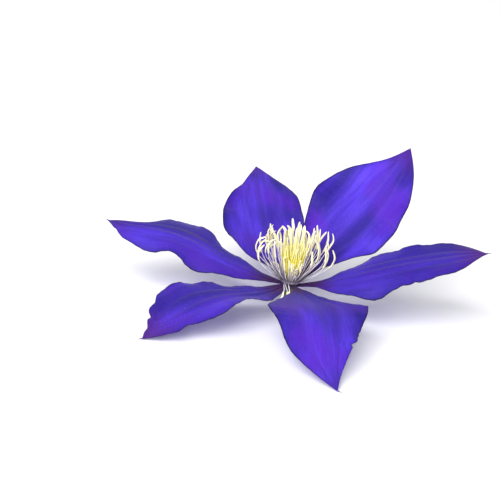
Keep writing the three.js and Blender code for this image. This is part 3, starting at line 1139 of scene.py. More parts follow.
    def build(self) -> bpy.types.Object:
        """The closed blade, with its root sunk into the receptacle and a thread at its tip.

        Returns:
            The tepal's object.
        """
        t = np.linspace(0, 1, self.rows + 1)[:-1]
        upper, lower, aside = self.faces_of(t)
        points, along, _, up = self.midrib(np.array([0.0, 1.0]))
        sunk = -along[0] * self.root_sunk
        upper = np.concatenate([upper[:1] + sunk, upper])
        lower = np.concatenate([lower[:1] + sunk, lower])
        aside = np.concatenate([aside[:1], aside])
        shares = np.concatenate([[0], t])
        rows, columns = aside.shape
        side = np.broadcast_to(np.linspace(1, -1, columns), aside.shape)
        ahead = np.broadcast_to(shares[:, None], aside.shape)
        tip = points[1] + up[1] * np.array([[1], [-1]]) * self.edge_thickness / 2
        vertices = np.concatenate([upper.reshape(-1, 3), lower.reshape(-1, 3), tip])
        count = rows * columns
        blade = np.stack([side.ravel(), ahead.ravel(), np.zeros(count)], axis=1)
        under = blade + np.array([0, 0, 1])
        blade = np.concatenate([blade, under, [[0, 1, 0], [0, 1, 1]]])
        length, own = self.form.length / MM, float(self.form.seed)
        owned = np.full(count, own)
        tissue = np.stack([aside.ravel() / MM, ahead.ravel() * length, owned], axis=1)
        tissue = np.concatenate([tissue, tissue, [[0, length, own]] * 2])
        faces = self.blade_faces(rows, columns, count)
        if self.form.awn:
            awn, awn_faces = self.awn(points[1], along[1], len(vertices))
            vertices = np.concatenate([vertices, awn])
            faces += awn_faces
            blade = np.concatenate([blade, [[0, 1, 0]] * len(awn)])
            tissue = np.concatenate([tissue, [[0, length, own]] * len(awn)])
        made = mesh_object(self.form.node + "_blade", vertices + BLOOM_CENTRE, faces)
        keep_vectors(made.data, "blade", blade)
        keep_vectors(made.data, "tissue", tissue)
        return made

    @staticmethod
    def blade_faces(rows: int, columns: int, count: int) -> list[tuple[int, ...]]:
        """Both faces of a blade, the walls round its edge and the fans at its tip.

        Args:
            rows: Rows of vertices on each face.
            columns: Vertices in a row.
            count: Vertices on each face.

        Returns:
            The faces, facing out.
        """
        faces: list[tuple[int, ...]] = []
        for i in range(rows - 1):
            for j in range(columns - 1):
                a = i * columns + j
                b = a + columns
                faces.append((a, a + 1, b + 1, b))
                faces.append((count + a, count + b, count + b + 1, count + a + 1))
            left, right = i * columns, (i + 2) * columns - 1
            for a, b in ((left, left + columns), (right, right - columns)):
                faces.append((a, b, count + b, count + a))
        tip, last = 2 * count, (rows - 1) * columns
        for j in range(columns - 1):
            faces.append((j + 1, j, count + j, count + j + 1))
            faces.append((last + j, last + j + 1, tip))
            faces.append((count + last + j + 1, count + last + j, tip + 1))
        faces.append((last, tip, tip + 1, count + last))
        end = last + columns - 1
        faces.append((tip, end, count + end, tip + 1))
        return faces

    def awn(
        self, tip: np.ndarray, along: np.ndarray, first: int
    ) -> tuple[np.ndarray, list[tuple[int, ...]]]:
        """The fine thread that ends a tip, level with the surface where the tip touches it.

        Args:
            tip: The tip, in the bloom's frame.
            along: The midrib's direction there.
            first: Index of the thread's first vertex.

        Returns:
            The thread's vertices and faces.
        """
        turn = math.radians(self.form.awn_turn)
        level = unit(np.array([along[0], along[1], max(along[2], 0)]))
        way = Matrix.Rotation(turn, 3, "Z") @ Vector(level)
        shares = np.linspace(-self.awn_sunk, 1, self.awn_steps)
        line = tip + np.outer(shares * self.form.awn, np.array(way))
        line[:, 2] += self.awn_radius * self.awn_lift
        radii = self.awn_radius * (1 + self.awn_blunt - np.clip(shares, 0, 1))
        across = unit(np.cross(np.array(way), [0, 0, 1]))
        ring = circle(turn_steps(self.awn_sides), across, np.cross(np.array(way), across))
        vertices = (line[:, None] + radii[:, None, None] * ring[None]).reshape(-1, 3)
        faces = tube_faces(self.awn_steps, self.awn_sides)
        faces.append(tuple(range(self.awn_sides))[::-1])
        faces.append(tuple(range(len(vertices) - self.awn_sides, len(vertices))))
        return vertices, [tuple(first + k for k in face) for face in faces]


@dataclass
class Perianth:
    """The six tepals."""

    forms: tuple[TepalForm, ...] = TEPAL_FORMS
    finish: TepalFinish = TepalFinish()

    def build(self) -> None:
        """Makes and dresses each tepal."""
        for form in self.forms:
            blade = Tepal(form).build()
            tint = replace(
                self.finish, blush_share=form.blush, painted_shade=form.painted_shade, specks=form.specks
            )
            blade.data.materials.append(tint.material(form.node + "_tissue"))
            present(blade, Slot.TEPAL, form.node)


# ---------------------------------------------------------------- stalk


@dataclass
class Stalk:
    """The receptacle and the stub of the stalk below it, one piece as it grew."""

    # Radius at each height of the receptacle, from its top to where the stub leaves it.
    heights: Values = (0.5, 0.45, 0.3, 0.1, -0.5, -1.3, -2.0, -2.6, -3.4)
    radii: Values = (0.02, 0.9, 1.9, 2.5, 2.75, 2.4, 1.75, 1.25, 1.1)
    # The stub drops under the receptacle and bends back to lie on the surface.
    route: tuple[tuple[float, float, float], ...] = (
        (0, 0, 0.5),
        (0, 0, -1.5),
        (-0.9, -0.2, -4.2),
        (0.2, 3.2, -7.2),
        (2.2, 8.5, -8.76),
        (4.5, 14.5, -8.96),
    )
    upright_for: float = 0.4  # the skin keeps to the axis down to here
    released_at: float = 2.4  # and follows the route from here
    # The shallow hollow of the cut end, by shares of its radius and heights.
    hollow: tuple[tuple[float, float], ...] = ((0.85, 0.0), (0.6, -0.12), (0.25, -0.2))
    sides: int = 48
    steps: int = 110
    crowding: float = 1.6  # above 1 the steps are closer at the top
    furrows: int = 6
    furrow_depth: float = 0.06
    hair_length: float = 0.55 * MM
    hair_radius: float = 0.025 * MM
    hairs_per_area: float = 5e6  # on a square metre
    seed: int = 7
    finish: StalkFinish = StalkFinish()

    def build(self) -> None:
        """Makes and dresses the stalk."""
        skin = self.body()
        material = self.finish.material("stalk_skin")
        skin.data.materials.append(material)
        grown(
            skin,
            down_tree(),
            Hair_Length=self.hair_length,
            Hair_Radius=self.hair_radius,
            Density=self.hairs_per_area,
            Bare_Below=self.hair_length,
            Seed=self.seed,
            Skin=material,
        )
        present(skin, Slot.STALK, "stalk")

    def body(self) -> bpy.types.Object:
        """One swept skin from the top of the receptacle to the cut end.

        Returns:
            The stalk without its down.
        """
        route = np.array(self.route)
        stations = np.cumsum([0] + [math.dist(a, b) for a, b in zip(route, route[1:])])
        t = np.linspace(0, 1, self.steps) ** self.crowding
        walk = t * stations[-1]
        line = np.stack([smooth(stations, route[:, k], walk) for k in range(3)], axis=1)
        released = (walk - self.upright_for) / (self.released_at - self.upright_for)
        line[:, 0:2] *= np.clip(released, 0, 1)[:, None]
        along = unit(np.gradient(line, walk, axis=0))
        radius = np.interp(walk - self.heights[0], -np.array(self.heights), self.radii)
        angles = turn_steps(self.sides)
        grooves = 1 - self.furrow_depth * (0.5 - 0.5 * np.cos(self.furrows * angles))
        across = np.array([0.0, 1.0, 0.0])
        rings = []
        for point, direction, size in zip(line, along, radius):
            across = unit(across - direction * (across @ direction))
            ring = circle(angles, across, np.cross(direction, across))
            rings.append(point + ring * (size * grooves)[:, None])
        ends = rings[-1]
        middle = ends.mean(axis=0)
        for share, dip in self.hollow:
            rings.append(middle + (ends - middle) * share + along[-1] * dip)
        deepest = middle + along[-1] * self.hollow[-1][1]
        vertices = np.concatenate([*rings, [line[0], deepest]]) * MM
        faces = tube_faces(len(rings), self.sides)
        top, bottom = len(vertices) - 2, len(vertices) - 1
        last = (len(rings) - 1) * self.sides
        for k in range(self.sides):
            following = (k + 1) % self.sides
            faces.append((top, following, k))
            faces.append((bottom, last + k, last + following))
        made = mesh_object("stalk_skin", vertices + BLOOM_CENTRE, faces)
        at_cut = np.ones(len(self.hollow))
        shares = np.repeat(np.concatenate([t, at_cut]), self.sides)
        turns = np.tile(np.cos(angles), len(rings))
        cut = np.repeat(np.concatenate([0 * t, at_cut]), self.sides)
        skin = np.stack([shares, turns, cut], axis=1)
        keep_vectors(made.data, "skin", np.concatenate([skin, [[0, 0, 0], [1, 0, 1]]]))
        return made


HAIR_SIDES = 4
HAIR_SIZES = (0.5, 1.1)  # shares of the full length
HAIR_SLANT = 0.7  # in radians
HAIR_TURN = 6.28  # in radians, once round


def down_tree() -> bpy.types.NodeTree:
    """A tree that scatters short soft hairs over a skin and keeps the skin.

    Returns:
        The geometry tree.
    """
    graph, given, result = tree_with(
        "down",
        Hair_Length="Float",
        Hair_Radius="Float",
        Density="Float",
        Bare_Below="Float",
        Seed="Int",
        Skin="Material",
    )
    skin, seed = graph.out(given, "Geometry"), graph.out(given, "Seed")
    _, _, height = graph.parts(graph.out(graph.add("GeometryNodeInputPosition"), "Position"))
    clear = graph.math("GREATER_THAN", height, graph.out(given, "Bare Below"))
    scatter = graph.add("GeometryNodeDistributePointsOnFaces")
    graph.put(scatter, Mesh=skin, Selection=clear, Density=graph.out(given, "Density"), Seed=seed)
    hair = graph.add("GeometryNodeMeshCone")
    graph.put(hair, Vertices=HAIR_SIDES, Radius_Top=0.0, Depth=graph.out(given, "Hair Length"))
    graph.put(hair, Radius_Bottom=graph.out(given, "Hair Radius"))
    size = graph.add("FunctionNodeRandomValue", data_type="FLOAT")
    graph.put(size, Min=HAIR_SIZES[0], Max=HAIR_SIZES[1], Seed=seed)
    bend = graph.add("FunctionNodeRandomValue", data_type="FLOAT_VECTOR")
    graph.put(bend, Min=(-HAIR_SLANT, -HAIR_SLANT, 0.0), Max=(HAIR_SLANT, HAIR_SLANT, HAIR_TURN))
    graph.put(bend, Seed=seed)
    turn = graph.put(graph.add("FunctionNodeEulerToRotation"), Euler=graph.out(bend, "Value"))
    both = graph.add("FunctionNodeRotateRotation", rotation_space="LOCAL")
    graph.put(both, Rotation=graph.out(scatter, "Rotation"), Rotate_By=turn.outputs[0])
    placed = graph.add("GeometryNodeInstanceOnPoints")
    graph.put(placed, Points=graph.out(scatter, "Points"), Instance=graph.out(hair, "Mesh"))
    graph.put(placed, Rotation=both.outputs[0], Scale=graph.out(size, "Value"))
    real = graph.put(graph.add("GeometryNodeRealizeInstances"), Geometry=placed.outputs[0])
    whole = graph.add("GeometryNodeJoinGeometry")
    graph.put(whole, Geometry=skin)
    graph.put(whole, Geometry=real.outputs[0])
    dressed = graph.add("GeometryNodeSetMaterial")
    graph.put(dressed, Geometry=whole.outputs[0], Material=graph.out(given, "Skin"))
    graph.put(result, Geometry=dressed.outputs[0])
    return graph.tree


# ---------------------------------------------------------------- stamens and pistil

CROOK_WAVES = (2.3, 4.1, 6.7)  # waves in the length of a thread
CROOK_FULL_AT = 0.5  # share of the length from which a thread strays fully
LEAST_STOUT = 0.35  # stoutness of a thread without a length; the longest one has 1


def skeleton(
    name: str, paths: Sequence[np.ndarray], points: int, crook: float, seed: int
) -> bpy.types.Object:
    """Smooth lines along paths, which carry what the threads on them need.

    Each point knows its share along, its thread's own number and stoutness, and which way the
    thread faces.

    Args:
        name: The object's name.
        paths: The paths, in millimetres in the bloom's frame.
        points: How many points each line has.
        crook: How far a line strays from its path, in millimetres.
        seed: A whole number that picks the strays.

    Returns:
        The object that threads grow on.
    """
    numbers = np.random.default_rng(seed)
    share = np.linspace(0, 1, points)
    longest = max(path_length(path) for path in paths)
    lines, edges, thread, facing = [], [], [], []
    for path in paths:
        fine = np.stack([smooth(even(path), path[:, k], share) for k in range(3)], axis=1)
        for waves in CROOK_WAVES:
            stray = numbers.uniform(-1, 1, 3) * crook / waves
            swing = np.sin(2 * math.pi * (waves * share + numbers.uniform()))
            fine += stray * (swing * np.minimum(share / CROOK_FULL_AT, 1))[:, None]
        along = unit(np.gradient(fine, axis=0))
        outward = unit(np.array([fine[0, 0], fine[0, 1], 0.0]))
        first = len(lines) * points
        edges += [(first + k, first + k + 1) for k in range(points - 1)]
        lines.append(fine)
        stout = LEAST_STOUT + (1 - LEAST_STOUT) * path_length(fine) / longest
        own = numbers.uniform()
        thread.append(np.stack([share, 0 * share + own, 0 * share + stout], axis=1))
        facing.append(unit(outward - along * (along @ outward)[:, None]))
    mesh = bpy.data.meshes.new(name)
    mesh.from_pydata((np.concatenate(lines) * MM + BLOOM_CENTRE).tolist(), edges, [])
    keep_vectors(mesh, "thread", np.concatenate(thread))
    keep_vectors(mesh, "facing", np.concatenate(facing))
    made = bpy.data.objects.new(name, mesh)
    bpy.context.scene.collection.objects.link(made)
    return made


@dataclass(frozen=True)
class Strand:
    """How a stretch of a line is thickened: its steps and its outline from foot to tip."""

    steps: int
    outline: tuple[tuple[float, float], ...]

    def grow(
        self,
        graph: Graph,
        line: bpy.types.NodeSocket,
        width: bpy.types.NodeSocket,
        section: bpy.types.NodeSocket,
        material: bpy.types.NodeSocket,
    ) -> bpy.types.NodeSocket:
        """Adds the nodes that make the solid strand.

        Args:
            graph: The geometry tree's graph.
            line: The stretch, as a curve.
            width: Its greatest width.
            section: Its section, 1 wide.
            material: Its material.

        Returns:
            The strand.
        """
        even_steps = graph.put(graph.add("GeometryNodeResampleCurve"), Curve=line, Count=self.steps)
        facing = graph.add("GeometryNodeInputNamedAttribute", data_type="FLOAT_VECTOR")
        graph.put(facing, Name="facing")
        turned = graph.add("GeometryNodeSetCurveNormal", mode="FREE")
        graph.put(turned, Curve=even_steps.outputs[0], Normal=graph.out(facing, "Attribute"))
        share = graph.out(graph.add("GeometryNodeSplineParameter"), "Factor")
        thread = graph.add("GeometryNodeInputNamedAttribute", data_type="FLOAT_VECTOR")
        graph.put(thread, Name="thread")
        _, _, stout = graph.parts(graph.out(thread, "Attribute"))
        size = graph.math("MULTIPLY", graph.curve(share, self.outline), width)
        size = graph.math("MULTIPLY", size, stout)
        solid = graph.add("GeometryNodeCurveToMesh")
        graph.put(solid, Curve=turned.outputs[0], Profile_Curve=section, Scale=size, Fill_Caps=True)
        dressed = graph.add("GeometryNodeSetMaterial")
        graph.put(dressed, Geometry=solid.outputs[0], Material=material)
        return dressed.outputs[0]


FILAMENT_STRAND = Strand(26, ((0, 1), (0.3, 0.85), (0.8, 0.75), (1, 0.6)))
ANTHER_STRAND = Strand(22, ((0, 0.45), (0.1, 0.9), (0.5, 1), (0.85, 0.75), (1, 0.2)))
STYLE_STRAND = Strand(20, ((0, 0.8), (0.15, 1), (0.6, 0.9), (0.9, 0.5), (1, 0.12)))
STAMEN_SIDES = 8
STYLE_SIDES = 7
# How thick an anther's section is: pinched in the middle, full over its two pollen sacs.
ANTHER_PINCH = Fade(0.0, 0.3, 0.45, 1.25)


def round_section(graph: Graph, sides: int) -> bpy.types.NodeSocket:
    """A round section, 1 wide."""
    circle_node = graph.add("GeometryNodeCurvePrimitiveCircle")
    return graph.put(circle_node, Resolution=sides, Radius=0.5).outputs[0]


def finished(graph: Graph, result: bpy.types.Node, *pieces: bpy.types.NodeSocket) -> None:
    """Joins pieces, makes them real and smooth, and hands them to the tree's output.

    Args:
        graph: The geometry tree's graph.
        result: The tree's output node.
        pieces: What the tree has made.
    """
    whole = graph.add("GeometryNodeJoinGeometry")
    for piece in pieces:
        graph.put(whole, Geometry=piece)
    real = graph.put(graph.add("GeometryNodeRealizeInstances"), Geometry=whole.outputs[0])
    soft = graph.put(graph.add("GeometryNodeSetShadeSmooth"), Geometry=real.outputs[0])
    graph.put(result, Geometry=soft.outputs[0])


def stamen_tree() -> bpy.types.NodeTree:
    """A tree that grows a flat filament and a two-lobed anther on each line.

    Returns:
        The geometry tree.
    """
    graph, given, result = tree_with(
        "stamens",
        Filament_Width="Float",
        Anther_Width="Float",
        Flatness="Float",
        Anther_Start="Float",
        Filament="Material",
        Anther="Material",
    )
    lines = graph.put(graph.add("GeometryNodeMeshToCurve"), Mesh=graph.out(given, "Geometry"))
    start = graph.out(given, "Anther Start")
    flat = graph.add("GeometryNodeTransform")
    squeeze = graph.vector(graph.out(given, "Flatness"), 1.0, 1.0)
    graph.put(flat, Geometry=round_section(graph, STAMEN_SIDES), Scale=squeeze)
    lobes = lobed_section(graph, flat.outputs[0])
    lower = graph.put(graph.add("GeometryNodeTrimCurve"), Curve=lines.outputs[0])
    graph.feed(graph.socket(lower.inputs, "End"), start)
    upper = graph.put(graph.add("GeometryNodeTrimCurve"), Curve=lines.outputs[0], Start=start)
    threads = []
    for part, strand, stretch, section in (
        ("Filament", FILAMENT_STRAND, lower, flat.outputs[0]),
        ("Anther", ANTHER_STRAND, upper, lobes),
    ):
        width, material = graph.out(given, part + " Width"), graph.out(given, part)
        threads.append(strand.grow(graph, stretch.outputs[0], width, section, material))
    finished(graph, result, *threads)
    return graph.tree


def lobed_section(graph: Graph, oval: bpy.types.NodeSocket) -> bpy.types.NodeSocket:
    """An oval section pinched in its middle, as an anther's two pollen sacs make it.

    Args:
        graph: The geometry tree's graph.
        oval: The oval, wide along Y.

    Returns:
        The pinched section.
    """
    place = graph.add("GeometryNodeInputPosition").outputs[0]
    x, y, _ = graph.parts(place)
    fullness = ANTHER_PINCH.read(graph, graph.math("ABSOLUTE", y))
    moved = graph.vector(graph.math("MULTIPLY", x, fullness), y)
    pinched = graph.add("GeometryNodeSetPosition")
    graph.put(pinched, Geometry=oval, Position=moved)
    return pinched.outputs[0]


def style_tree() -> bpy.types.NodeTree:
    """A tree that thickens lines to tapering styles and keeps the dome that they stand on.

    Returns:
        The geometry tree.
    """
    graph, given, result = tree_with("styles", Width="Float", Dome="Object", Style="Material")
    lines = graph.put(graph.add("GeometryNodeMeshToCurve"), Mesh=graph.out(given, "Geometry"))
    section = round_section(graph, STYLE_SIDES)
    solid = STYLE_STRAND.grow(
        graph, lines.outputs[0], graph.out(given, "Width"), section, graph.out(given, "Style")
    )
    dome = graph.put(graph.add("GeometryNodeObjectInfo"), Object=graph.out(given, "Dome"))
    dressed = graph.add("GeometryNodeSetMaterial")
    graph.put(dressed, Geometry=graph.out(dome, "Geometry"), Material=graph.out(given, "Style"))
    finished(graph, result, solid, dressed.outputs[0])
    return graph.tree


@dataclass(frozen=True)
class Goblet:
    """The room that the styles fill, open upwards; the stamens stay outside it."""

    radius: float = 1.6
    growth: float = 0.36  # of the radius with the height
    slowing: float = 0.006  # of the growth, with the height squared
    style_inside: float = 0.5  # how far inside the styles keep
    stamen_outside: float = 0.62

    def at(self, height: float) -> float:
        """Its radius at a height."""
        return self.radius + self.growth * height - self.slowing * height**2

    def keep_out(self, point: np.ndarray) -> np.ndarray:
        """Moves a stamen's point out of the goblet.

        Args:
            point: The point, which is changed where it is too far in.

        Returns:
            The same point.
        """
        least = self.at(point[2]) + self.stamen_outside
        radius = math.hypot(point[0], point[1])
        if radius < least:
            point[:2] *= least / radius
        return point


@dataclass(frozen=True)
class Whorl:
    """One ring of stamens."""

    count: int
    radius: float
    rise: float  # height of their feet
    length: float
    lean_root: float  # from upright, at the root
    lean_tip: float
    shed: bool = False  # whether its stamens at the front have dropped


@dataclass(frozen=True)
class Sector:
    """A range of azimuths in which the stamens grow otherwise than elsewhere."""

    azimuth: float  # of its middle
    spread: float  # from the middle to either end
    amount: float  # of the change in its middle

    def nearness(self, azimuth: float) -> float:
        """How near an azimuth is to the sector's middle: 1 there, 0 a spread away."""
        aside = (azimuth - self.azimuth + 180) % 360 - 180
        return max(0.0, 1 - abs(aside) / self.spread)


@dataclass
class StamenBrush:
    """The stamens on their low ring round the pistil, in whorls from the outside in."""

    whorls: tuple[Whorl, ...] = (
        Whorl(30, 3.0, 1.3, 20.5, 62, 24, shed=True),
        Whorl(24, 2.75, 1.5, 20.5, 46, 12),
        Whorl(17, 2.4, 1.6, 19, 22, 2),
    )
    steps: int = 7
    scatter: float = 0.2  # of the lengths and leans, as a share
    wander: float = 14  # how far a thread turns aside towards its tip
    sway: float = 16  # how far it swings
    hook: float = 75  # the most that an end bends in or out
    curl_from: float = 0.52  # share of the length at which the bend begins
    curl_power: float = 1.5
    swings: float = 1.5  # how often a thread swings from side to side
    spacing_scatter: float = 0.4
    steeper: Sector = Sector(60, 85, 0.5)
    shorter: Sector = Sector(266, 56, 0.5)
    full_from: float = 0.5  # nearness from which they are fully shorter
    curled: tuple[Sector, ...] = (Sector(180, 52, -190), Sector(350, 50, -100))  # inwards
    least_curl: float = 0.4  # the least share of a sector's full curl
    # A few spent stamens hang down between the two front tepals.
    spent: tuple[tuple[tuple[float, float, float], ...], ...] = (
        (
            (-1.6, -2.6, 1.4),
            (-2.2, -4.8, 1.8),
            (-2.3, -6.9, 1.5),
            (-2.2, -9.4, 0.7),
            (-2.6, -11.3, -1.1),
            (-3.7, -12.2, -3.2),
        ),
        (
            (-0.6, -2.8, 1.3),
            (-0.7, -4.9, 1.3),
            (-0.1, -6.2, -0.2),
            (-0.4, -7, -1.6),
            (0.1, -7.3, -2.5),
        ),
        (
            (-1.1, -2.8, 1.2),
            (-1.7, -4.8, 1.3),
            (-0.8, -6.5, -0.6),
            (-1.1, -7, -2.4),
            (-1.2, -7.1, -3.2),
        ),
    )
    goblet: Goblet = Goblet()
    # Radii and heights of the ring's outline.
    ring: tuple[tuple[float, float], ...] = (
        (1.95, 0.9),
        (3.2, 0.85),
        (3.6, 1.2),
        (3.4, 1.7),
        (2.6, 2.0),
        (1.95, 1.7),
    )
    ring_sides: int = 72
    knob: float = 0.03  # how far the ring swells under a foot, as a share of its radius
    line_points: int = 33
    crook: float = 0.3  # how far a thread strays from a smooth line
    filament_width: float = 0.7 * MM
    anther_width: float = 1.15 * MM
    flatness: float = 0.45  # thickness of a thread as a share of its width
    anther_start: float = 0.62  # share of the length at which the anther begins
    seed: int = 20417
    filament: ThreadFinish = ThreadFinish(
        # the dark violet foot is partly the filaments' own colour and partly painted shade where
        # the feet crowd together
        foot=srgb(64, 54, 88),
        middle=srgb(228, 222, 230),
        tip=srgb(242, 236, 214),
        shade=srgb(206, 196, 200),
        foot_ends=0.45,
        tip_starts=0.6,
    )
    anther: ThreadFinish = ThreadFinish(
        foot=srgb(238, 230, 192),
        middle=srgb(242, 235, 198),
        tip=srgb(246, 240, 212),
        shade=srgb(214, 200, 156),
        foot_ends=0.7,
        tip_starts=0.9,
    )

    def path(self, whorl: Whorl, azimuth: float, draw: Callable[[], float]) -> np.ndarray:
        """The path of a stamen: it leans out from the ring, bends upright and ends in a hook.

        Args:
            whorl: The ring that it belongs to.
            azimuth: Where it stands on the ring.
            draw: The stream of random numbers.

        Returns:
            Its points in millimetres, in the bloom's frame.
        """
        length = whorl.length * (1 + self.scatter * (draw() - 0.5))
        lean_change = 1 + self.scatter * (draw() - 0.5)
        upright = 1 - self.steeper.amount * self.steeper.nearness(azimuth)
        short = min(self.shorter.nearness(azimuth) / self.full_from, 1)
        length *= 1 - self.shorter.amount * short
        inward = sum(sector.nearness(azimuth) for sector in self.curled)
        curl = sum(sector.amount * sector.nearness(azimuth) for sector in self.curled)
        curl *= self.least_curl + (1 - self.least_curl) * draw()
        curl += self.hook * (1 - inward) * (2 * draw() - 1)
        wander = self.wander * (2 * draw() - 1)
        sway_starts = draw()
        start = math.radians(azimuth)
        foot = (whorl.radius * math.cos(start), whorl.radius * math.sin(start), whorl.rise)
        point = np.array(foot)
        points = [point.copy()]
        for i in range(self.steps):
            t = (i + 0.5) / self.steps
            lean = whorl.lean_root + (whorl.lean_tip - whorl.lean_root) * t
            curling = max(0, (t - self.curl_from) / (1 - self.curl_from))
            bent = curl * curling**self.curl_power
            swing = self.sway * t * math.sin(2 * math.pi * (self.swings * t + sway_starts))
            now = math.radians(lean * lean_change * upright + bent + swing)
            turn = math.radians(azimuth + wander * t + swing)
            way = (math.sin(now) * math.cos(turn), math.sin(now) * math.sin(turn), math.cos(now))
            point = point + np.array(way) * length / self.steps
            points.append(self.goblet.keep_out(point.copy()))
        return np.array(points)

    def paths(self) -> list[np.ndarray]:
        """The paths of all stamens.

        Returns:
            Their points in millimetres, in the bloom's frame, with the spent stamens last.
        """
        draw = seeded_random(self.seed)
        found = []
        for ring, whorl in enumerate(self.whorls):
            for i in range(whorl.count):
                shift = 0.5 * (ring % 2) + self.spacing_scatter * (draw() - 0.5)
                azimuth = 360 * (i + shift) / whorl.count
                path = self.path(whorl, azimuth, draw)
                if not (whorl.shed and self.shorter.nearness(azimuth) > 0):
                    found.append(path)
        return found + [np.array(path) for path in self.spent]

    def build(self) -> None:
        """Makes and dresses the stamens and their ring."""
        filament = self.filament.material("filament")
        brush = skeleton("stamen_brush", self.paths(), self.line_points, self.crook, self.seed)
        grown(
            brush,
            stamen_tree(),
            Filament_Width=self.filament_width,
            Anther_Width=self.anther_width,
            Flatness=self.flatness,
            Anther_Start=self.anther_start,
            Filament=filament,
            Anther=self.anther.material("anther"),
        )
        present(brush, Slot.STAMEN, "stamens")
        ring = self.ring_piece()
        ring.data.materials.append(filament)
        present(ring, Slot.STAMEN, "stamens")

    def ring_piece(self) -> bpy.types.Object:
        """The low ring that the stamens stand on, with a knob under each foot.

        Returns:
            The ring's object.
        """
        knobs = 1 + self.knob * np.cos(self.whorls[0].count * turn_steps(self.ring_sides))
        made = turned("stamen_ring", np.array(self.ring), knobs, closed=True)
        # The ring sits at the threads' foot, so it takes their dark foot colour: painted shade at
        # the base of the brush.
        thread = np.tile([0.0, 0.5, 0.0], (len(made.data.vertices), 1))
        keep_vectors(made.data, "thread", thread)
        return made


def turned(name: str, profile: np.ndarray, knobs: np.ndarray, closed: bool) -> bpy.types.Object:
    """A profile of radii and heights turned round the bloom's axis.

    Args:
        name: The object's name.
        profile: Its radii and heights in millimetres, anticlockwise round the solid.
        knobs: A factor on the radii for each step round the axis.
        closed: Whether the profile's end joins its start; else flat caps close the solid.

    Returns:
        The turned object.
    """
    sides = len(knobs)
    round_it = circle(turn_steps(sides), np.array([1, 0, 0]), np.array([0, 1, 0]))
    rings = [radius * knobs[:, None] * round_it + [0, 0, height] for radius, height in profile]
    faces = tube_faces(len(rings), sides)
    last = (len(rings) - 1) * sides
    if closed:
        faces += [(last + k, last + (k + 1) % sides, (k + 1) % sides, k) for k in range(sides)]
    else:
        faces += [tuple(range(sides))[::-1], tuple(range(last, last + sides))]
    return mesh_object(name, np.concatenate(rings) * MM + BLOOM_CENTRE, faces)


@dataclass
class Pistil:
    """The tuft of styles on its small dome."""

    # Radii and heights of the dome's outline.
    dome: tuple[tuple[float, float], ...] = (
        (0.02, 0.95),
        (1.35, 0.95),
        (1.6, 1.6),
        (1.35, 2.6),
        (0.8, 3.3),
        (0.02, 3.5),
    )
    dome_sides: int = 32
    goblet: Goblet = Goblet()
    count: int = 92
    length: float = 16.0
    length_scatter: float = 0.24  # the most that a style is shorter, as a share
    outer_shorter: float = 0.12  # how much shorter the outermost are, as a share
    root_spread: float = 1.2  # radius of the tuft at its foot
    tip_spread: float = 6.0
    opening: float = 0.65  # below 1 the tuft widens first and then rises
    root_rise: float = 2.2  # height of the feet
    steps: int = 6
    stray: float = 0.5  # how far a tip strays in or out
    azimuth_stray: float = 0.3  # and to the side, in radians
    line_points: int = 21
    crook: float = 0.14
    width: float = 0.72 * MM
    seed: int = 5
    finish: ThreadFinish = ThreadFinish(
        # the dull dark foot is partly the styles' own greenish colour and partly painted shade at
        # the base of the tuft
        foot=srgb(104, 104, 84),
        middle=srgb(240, 230, 100),
        tip=srgb(246, 241, 190),
        shade=srgb(216, 196, 74),
        foot_ends=0.5,
        tip_starts=0.6,
    )

    def paths(self) -> list[np.ndarray]:
        """The paths of the styles, which fill the goblet evenly like seeds in a head.

        Returns:
            Their points in millimetres, in the bloom's frame.
        """
        numbers = np.random.default_rng(self.seed)
        golden = math.pi * (3 - math.sqrt(5))
        t = np.linspace(0, 1, self.steps + 1)
        found = []
        for i in range(self.count):
            share = math.sqrt((i + 0.5) / self.count)
            azimuth = golden * i + self.azimuth_stray * numbers.uniform(-1, 1) * t**2
            shorter = self.length_scatter * numbers.uniform() + self.outer_shorter * share
            height = self.root_rise + self.length * (1 - shorter) * t
            spread = self.root_spread + (self.tip_spread - self.root_spread) * t**self.opening
            limit = np.array([self.goblet.at(z) for z in height]) - self.goblet.style_inside
            radius = np.minimum(share * spread + self.stray * numbers.uniform(-1, 1) * t**2, limit)
            points = [radius * np.cos(azimuth), radius * np.sin(azimuth), height]
            found.append(np.stack(points, axis=1))
        return found

    def build(self) -> None:
        """Makes and dresses the dome and its styles."""
        dome = turned("style_dome", np.array(self.dome), np.ones(self.dome_sides), closed=False)
        # The dome sits at the styles' foot and takes their dark foot colour, partly painted shade.
        keep_vectors(dome.data, "thread", np.zeros((len(dome.data.vertices), 3)))
        tuft = skeleton("style_tuft", self.paths(), self.line_points, self.crook, self.seed)
        grown(
            tuft, style_tree(), Width=self.width, Dome=dome, Style=self.finish.material("style")
        )
        bpy.data.objects.remove(dome)
        present(tuft, Slot.PISTIL, "pistil")


# ---------------------------------------------------------------- studio


@dataclass(frozen=True)
class Softbox:
    """A square light that faces the bloom."""

    name: str
    azimuth: float
    elevation: float
    distance: float
    size: float
    power: float

    def build(self) -> None:
        """Places the light."""
        light = bpy.data.lights.new(self.name, "AREA")
        light.shape = "SQUARE"
        light.size = self.size
        light.energy = self.power
        a, e = math.radians(self.azimuth), math.radians(self.elevation)
        way = Vector((math.sin(a) * math.cos(e), -math.cos(a) * math.cos(e), math.sin(e)))
        holder = bpy.data.objects.new(self.name, light)
        holder.location = Vector(BLOOM_CENTRE) + way * self.distance
        holder.rotation_euler = way.to_track_quat("Z", "Y").to_euler()
        bpy.context.scene.collection.objects.link(holder)


